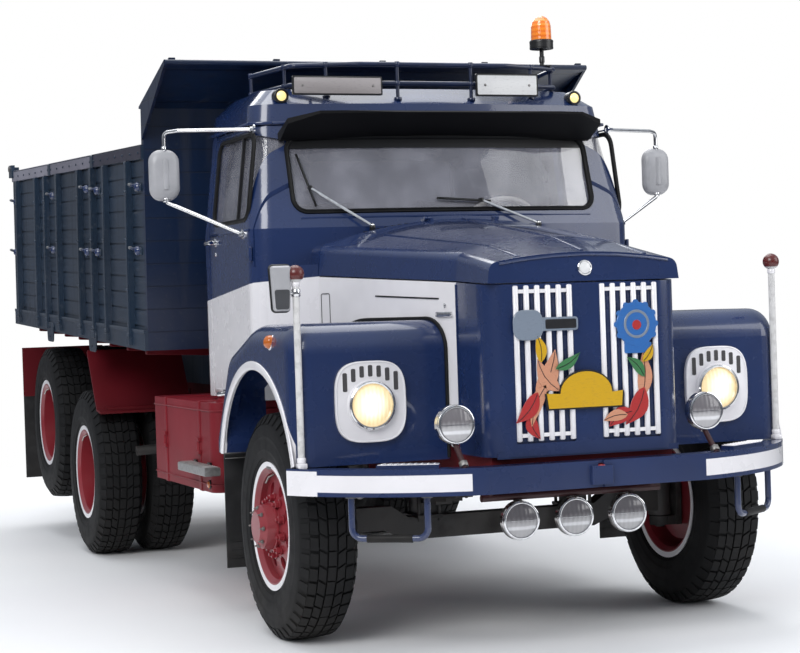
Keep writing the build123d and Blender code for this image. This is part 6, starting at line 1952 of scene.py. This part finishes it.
def build_stage():
    scene = bpy.context.scene
    yaw, pitch, roll = (math.radians(a) for a in CAMERA_TURN)
    ahead = Vector((math.sin(yaw) * math.cos(pitch), math.cos(yaw) * math.cos(pitch), math.sin(pitch)))
    right = Vector((math.cos(yaw), -math.sin(yaw), 0))
    over = right.cross(ahead)
    across = right * math.cos(roll) + over * math.sin(roll)
    lift = over * math.cos(roll) - right * math.sin(roll)
    data = bpy.data.cameras.new("camera")
    data.lens = LENS
    data.sensor_width = 36
    data.clip_start = 0.1
    data.clip_end = 300
    camera = bpy.data.objects.new("camera", data)
    scene.collection.objects.link(camera)
    turn = Matrix((across, lift, -ahead)).transposed().to_4x4()
    x, y, z = CAMERA_PLACE
    camera.matrix_world = Matrix.Translation((x, y + FRONT, z)) @ turn
    scene.camera = camera

    for name, place, aim, power, size in (
        ("key", (-9.0, -11.0, 9.0), (0, 0.0, 1.2), 1150, 7.0),
        ("fill", (9.5, -8.5, 5.5), (0, 0.5, 1.2), 520, 8.0),
        ("back", (3.0, 12.0, 9.0), (0, 2.0, 1.5), 650, 8.0),
        ("top", (0.0, 1.0, 11.0), (0, 1.0, 0.0), 620, 9.0),
    ):
        lamp = bpy.data.lights.new(name, "AREA")
        lamp.energy = power
        lamp.size = size
        holder = bpy.data.objects.new(name, lamp)
        holder.location = place
        holder.rotation_euler = (Vector(aim) - Vector(place)).to_track_quat("-Z", "Y").to_euler()
        scene.collection.objects.link(holder)

    scene.world = bpy.data.worlds.new("studio")
    s = Shader(scene.world)
    height = s.node("ShaderNodeSeparateXYZ", sockets={0: s.node("ShaderNodeTexCoord", output="Generated")},
                    output=2)
    sky = s.mix(s.ramp(height, -0.10, 0.75), (0.16, 0.17, 0.20, 1), (0.86, 0.92, 1.0, 1))
    soft = s.node("ShaderNodeBackground", sockets={"Color": sky, "Strength": 0.70})
    plain = s.node("ShaderNodeBackground", sockets={"Color": (1, 1, 1, 1), "Strength": 1.0})
    seen = s.node("ShaderNodeLightPath", output="Is Camera Ray")
    through = s.node("ShaderNodeLightPath", output="Is Transmission Ray")
    blend = s.node("ShaderNodeMixShader", sockets={0: seen.most(through), 1: soft, 2: plain})
    s.node("ShaderNodeOutputWorld", sockets={"Surface": blend})

    mesh = bpy.data.meshes.new("floor")
    mesh.from_pydata([(-40, -40, 0), (40, -40, 0), (40, 40, 0), (-40, 40, 0)], [], [(0, 1, 2, 3)])
    mesh.materials.append(finish("ground"))
    floor = bpy.data.objects.new("floor", mesh)
    scene.collection.objects.link(floor)
    scene.view_settings.view_transform = "Standard"


# ---------------------------------------------------------------- operators
def runs(build):
    """An operator's execute that runs one build function."""
    def execute(self, context):
        build()
        return {"FINISHED"}
    return execute


class TRUCK_OT_wheels(bpy.types.Operator):
    """Tyres with tread, hub fittings and nuts of the six wheels"""

    bl_idname = "truck.wheels"
    bl_label = "Wheels"
    execute = runs(build_wheels)


class TRUCK_OT_windows(bpy.types.Operator):
    """Glass and rubbers of the cab's windows"""

    bl_idname = "truck.windows"
    bl_label = "Windows"
    execute = runs(build_windows)


class TRUCK_OT_cab(bpy.types.Operator):
    """Cab panels with gutters, vents and ribs"""

    bl_idname = "truck.cab"
    bl_label = "Cab"
    execute = runs(build_cab)


class TRUCK_OT_doors(bpy.types.Operator):
    """Door handles, hinges, strips and inner panels"""

    bl_idname = "truck.doors"
    bl_label = "Doors"
    execute = runs(build_doors)


class TRUCK_OT_mirrors(bpy.types.Operator):
    """Mirror heads on bright arms"""

    bl_idname = "truck.mirrors"
    bl_label = "Mirrors"
    execute = runs(build_mirrors)


class TRUCK_OT_interior(bpy.types.Operator):
    """Steering wheel and instruments"""

    bl_idname = "truck.interior"
    bl_label = "Interior"
    execute = runs(build_interior)


class TRUCK_OT_seats(bpy.types.Operator):
    """Stuffed seat cushions and backs on their frames"""

    bl_idname = "truck.seats"
    bl_label = "Seats"
    execute = runs(build_seats)


class TRUCK_OT_headlamps(bpy.types.Operator):
    """Headlamp glasses, rings and bezel slits"""

    bl_idname = "truck.headlamps"
    bl_label = "Headlamps"
    execute = runs(build_headlamps)


class TRUCK_OT_front_lamps(bpy.types.Operator):
    """Extra lamps on and below the bumper"""

    bl_idname = "truck.front_lamps"
    bl_label = "Front lamps"
    execute = runs(build_front_lamps)


class TRUCK_OT_grille(bpy.types.Operator):
    """Grille frames, bare badges and cut-out decorations"""

    bl_idname = "truck.grille"
    bl_label = "Grille"
    execute = runs(build_grille)


class TRUCK_OT_bonnet(bpy.types.Operator):
    """Bonnet lid ridges, side strips and latches"""

    bl_idname = "truck.bonnet"
    bl_label = "Bonnet"
    execute = runs(build_bonnet)


class TRUCK_OT_wings(bpy.types.Operator):
    """Pale wheel arch lips, welts and turn lamps"""

    bl_idname = "truck.wings"
    bl_label = "Front wings"
    execute = runs(build_wings)


class TRUCK_OT_bumper(bpy.types.Operator):
    """Step pads, bolts and kerb mirror of the bumper"""

    bl_idname = "truck.bumper"
    bl_label = "Bumper"
    execute = runs(build_bumper)


class TRUCK_OT_roof(bpy.types.Operator):
    """Roof rack fittings, bare plates, roof lamps and beacon rings"""

    bl_idname = "truck.roof"
    bl_label = "Roof"
    execute = runs(build_roof)


class TRUCK_OT_wipers(bpy.types.Operator):
    """Wiper arms with rubber blades on the windscreen"""

    bl_idname = "truck.wipers"
    bl_label = "Wipers"
    execute = runs(build_wipers)


class TRUCK_OT_frame(bpy.types.Operator):
    """Rivets, spring clips and drive line fittings of the chassis"""

    bl_idname = "truck.frame"
    bl_label = "Frame"
    execute = runs(build_frame)


class TRUCK_OT_boxes(bpy.types.Operator):
    """Straps, caps and covers of the tank, battery box, air tank and silencer"""

    bl_idname = "truck.boxes"
    bl_label = "Tank and boxes"
    execute = runs(build_boxes)


class TRUCK_OT_tail(bpy.types.Operator):
    """Rear mudguards, flaps, tail lamp frames and bare plate"""

    bl_idname = "truck.tail"
    bl_label = "Tail"
    execute = runs(build_tail)


class TRUCK_OT_tipper(bpy.types.Operator):
    """Boards, stakes, latches, ribs and load floor of the tipping body"""

    bl_idname = "truck.tipper"
    bl_label = "Tipping body"
    execute = runs(build_tipper)


class TRUCK_OT_stage(bpy.types.Operator):
    """Camera at the photograph's place, soft lamps, world and floor"""

    bl_idname = "truck.stage"
    bl_label = "Stage"
    execute = runs(build_stage)


STEPS = (
    TRUCK_OT_wheels,
    TRUCK_OT_windows,
    TRUCK_OT_cab,
    TRUCK_OT_doors,
    TRUCK_OT_mirrors,
    TRUCK_OT_interior,
    TRUCK_OT_seats,
    TRUCK_OT_headlamps,
    TRUCK_OT_front_lamps,
    TRUCK_OT_grille,
    TRUCK_OT_bonnet,
    TRUCK_OT_wings,
    TRUCK_OT_bumper,
    TRUCK_OT_roof,
    TRUCK_OT_wipers,
    TRUCK_OT_frame,
    TRUCK_OT_boxes,
    TRUCK_OT_tail,
    TRUCK_OT_tipper,
    TRUCK_OT_stage,
)


class TRUCK_PT_dress(bpy.types.Panel):
    """Steps, colours and sizes of the truck."""

    bl_idname = "TRUCK_PT_dress"
    bl_label = "Tipper Truck"
    bl_space_type = "VIEW_3D"
    bl_region_type = "UI"
    bl_category = "Truck"

    def draw(self, context):
        scene = context.scene
        for group in (scene.truck_paint, scene.truck_sizes):
            box = self.layout.box()
            for name in group.__annotations__:
                box.prop(group, name)
        column = self.layout.column()
        for made in STEPS:
            column.operator(made.bl_idname)


CLASSES = (TruckPaint, TruckSizes) + STEPS + (TRUCK_PT_dress,)


def register():
    for made in CLASSES:
        bpy.utils.register_class(made)
    bpy.types.Scene.truck_paint = bpy.props.PointerProperty(type=TruckPaint)
    bpy.types.Scene.truck_sizes = bpy.props.PointerProperty(type=TruckSizes)


def unregister():
    del bpy.types.Scene.truck_sizes
    del bpy.types.Scene.truck_paint
    for made in reversed(CLASSES):
        bpy.utils.unregister_class(made)


def main():
    """Build the whole truck."""
    register()
    bpy.ops.truck.wheels()
    bpy.ops.truck.windows()
    bpy.ops.truck.cab()
    bpy.ops.truck.doors()
    bpy.ops.truck.mirrors()
    bpy.ops.truck.interior()
    bpy.ops.truck.seats()
    bpy.ops.truck.headlamps()
    bpy.ops.truck.front_lamps()
    bpy.ops.truck.grille()
    bpy.ops.truck.bonnet()
    bpy.ops.truck.wings()
    bpy.ops.truck.bumper()
    bpy.ops.truck.roof()
    bpy.ops.truck.wipers()
    bpy.ops.truck.frame()
    bpy.ops.truck.boxes()
    bpy.ops.truck.tail()
    bpy.ops.truck.tipper()
    bpy.ops.truck.stage()


if __name__ == "__main__":
    main()
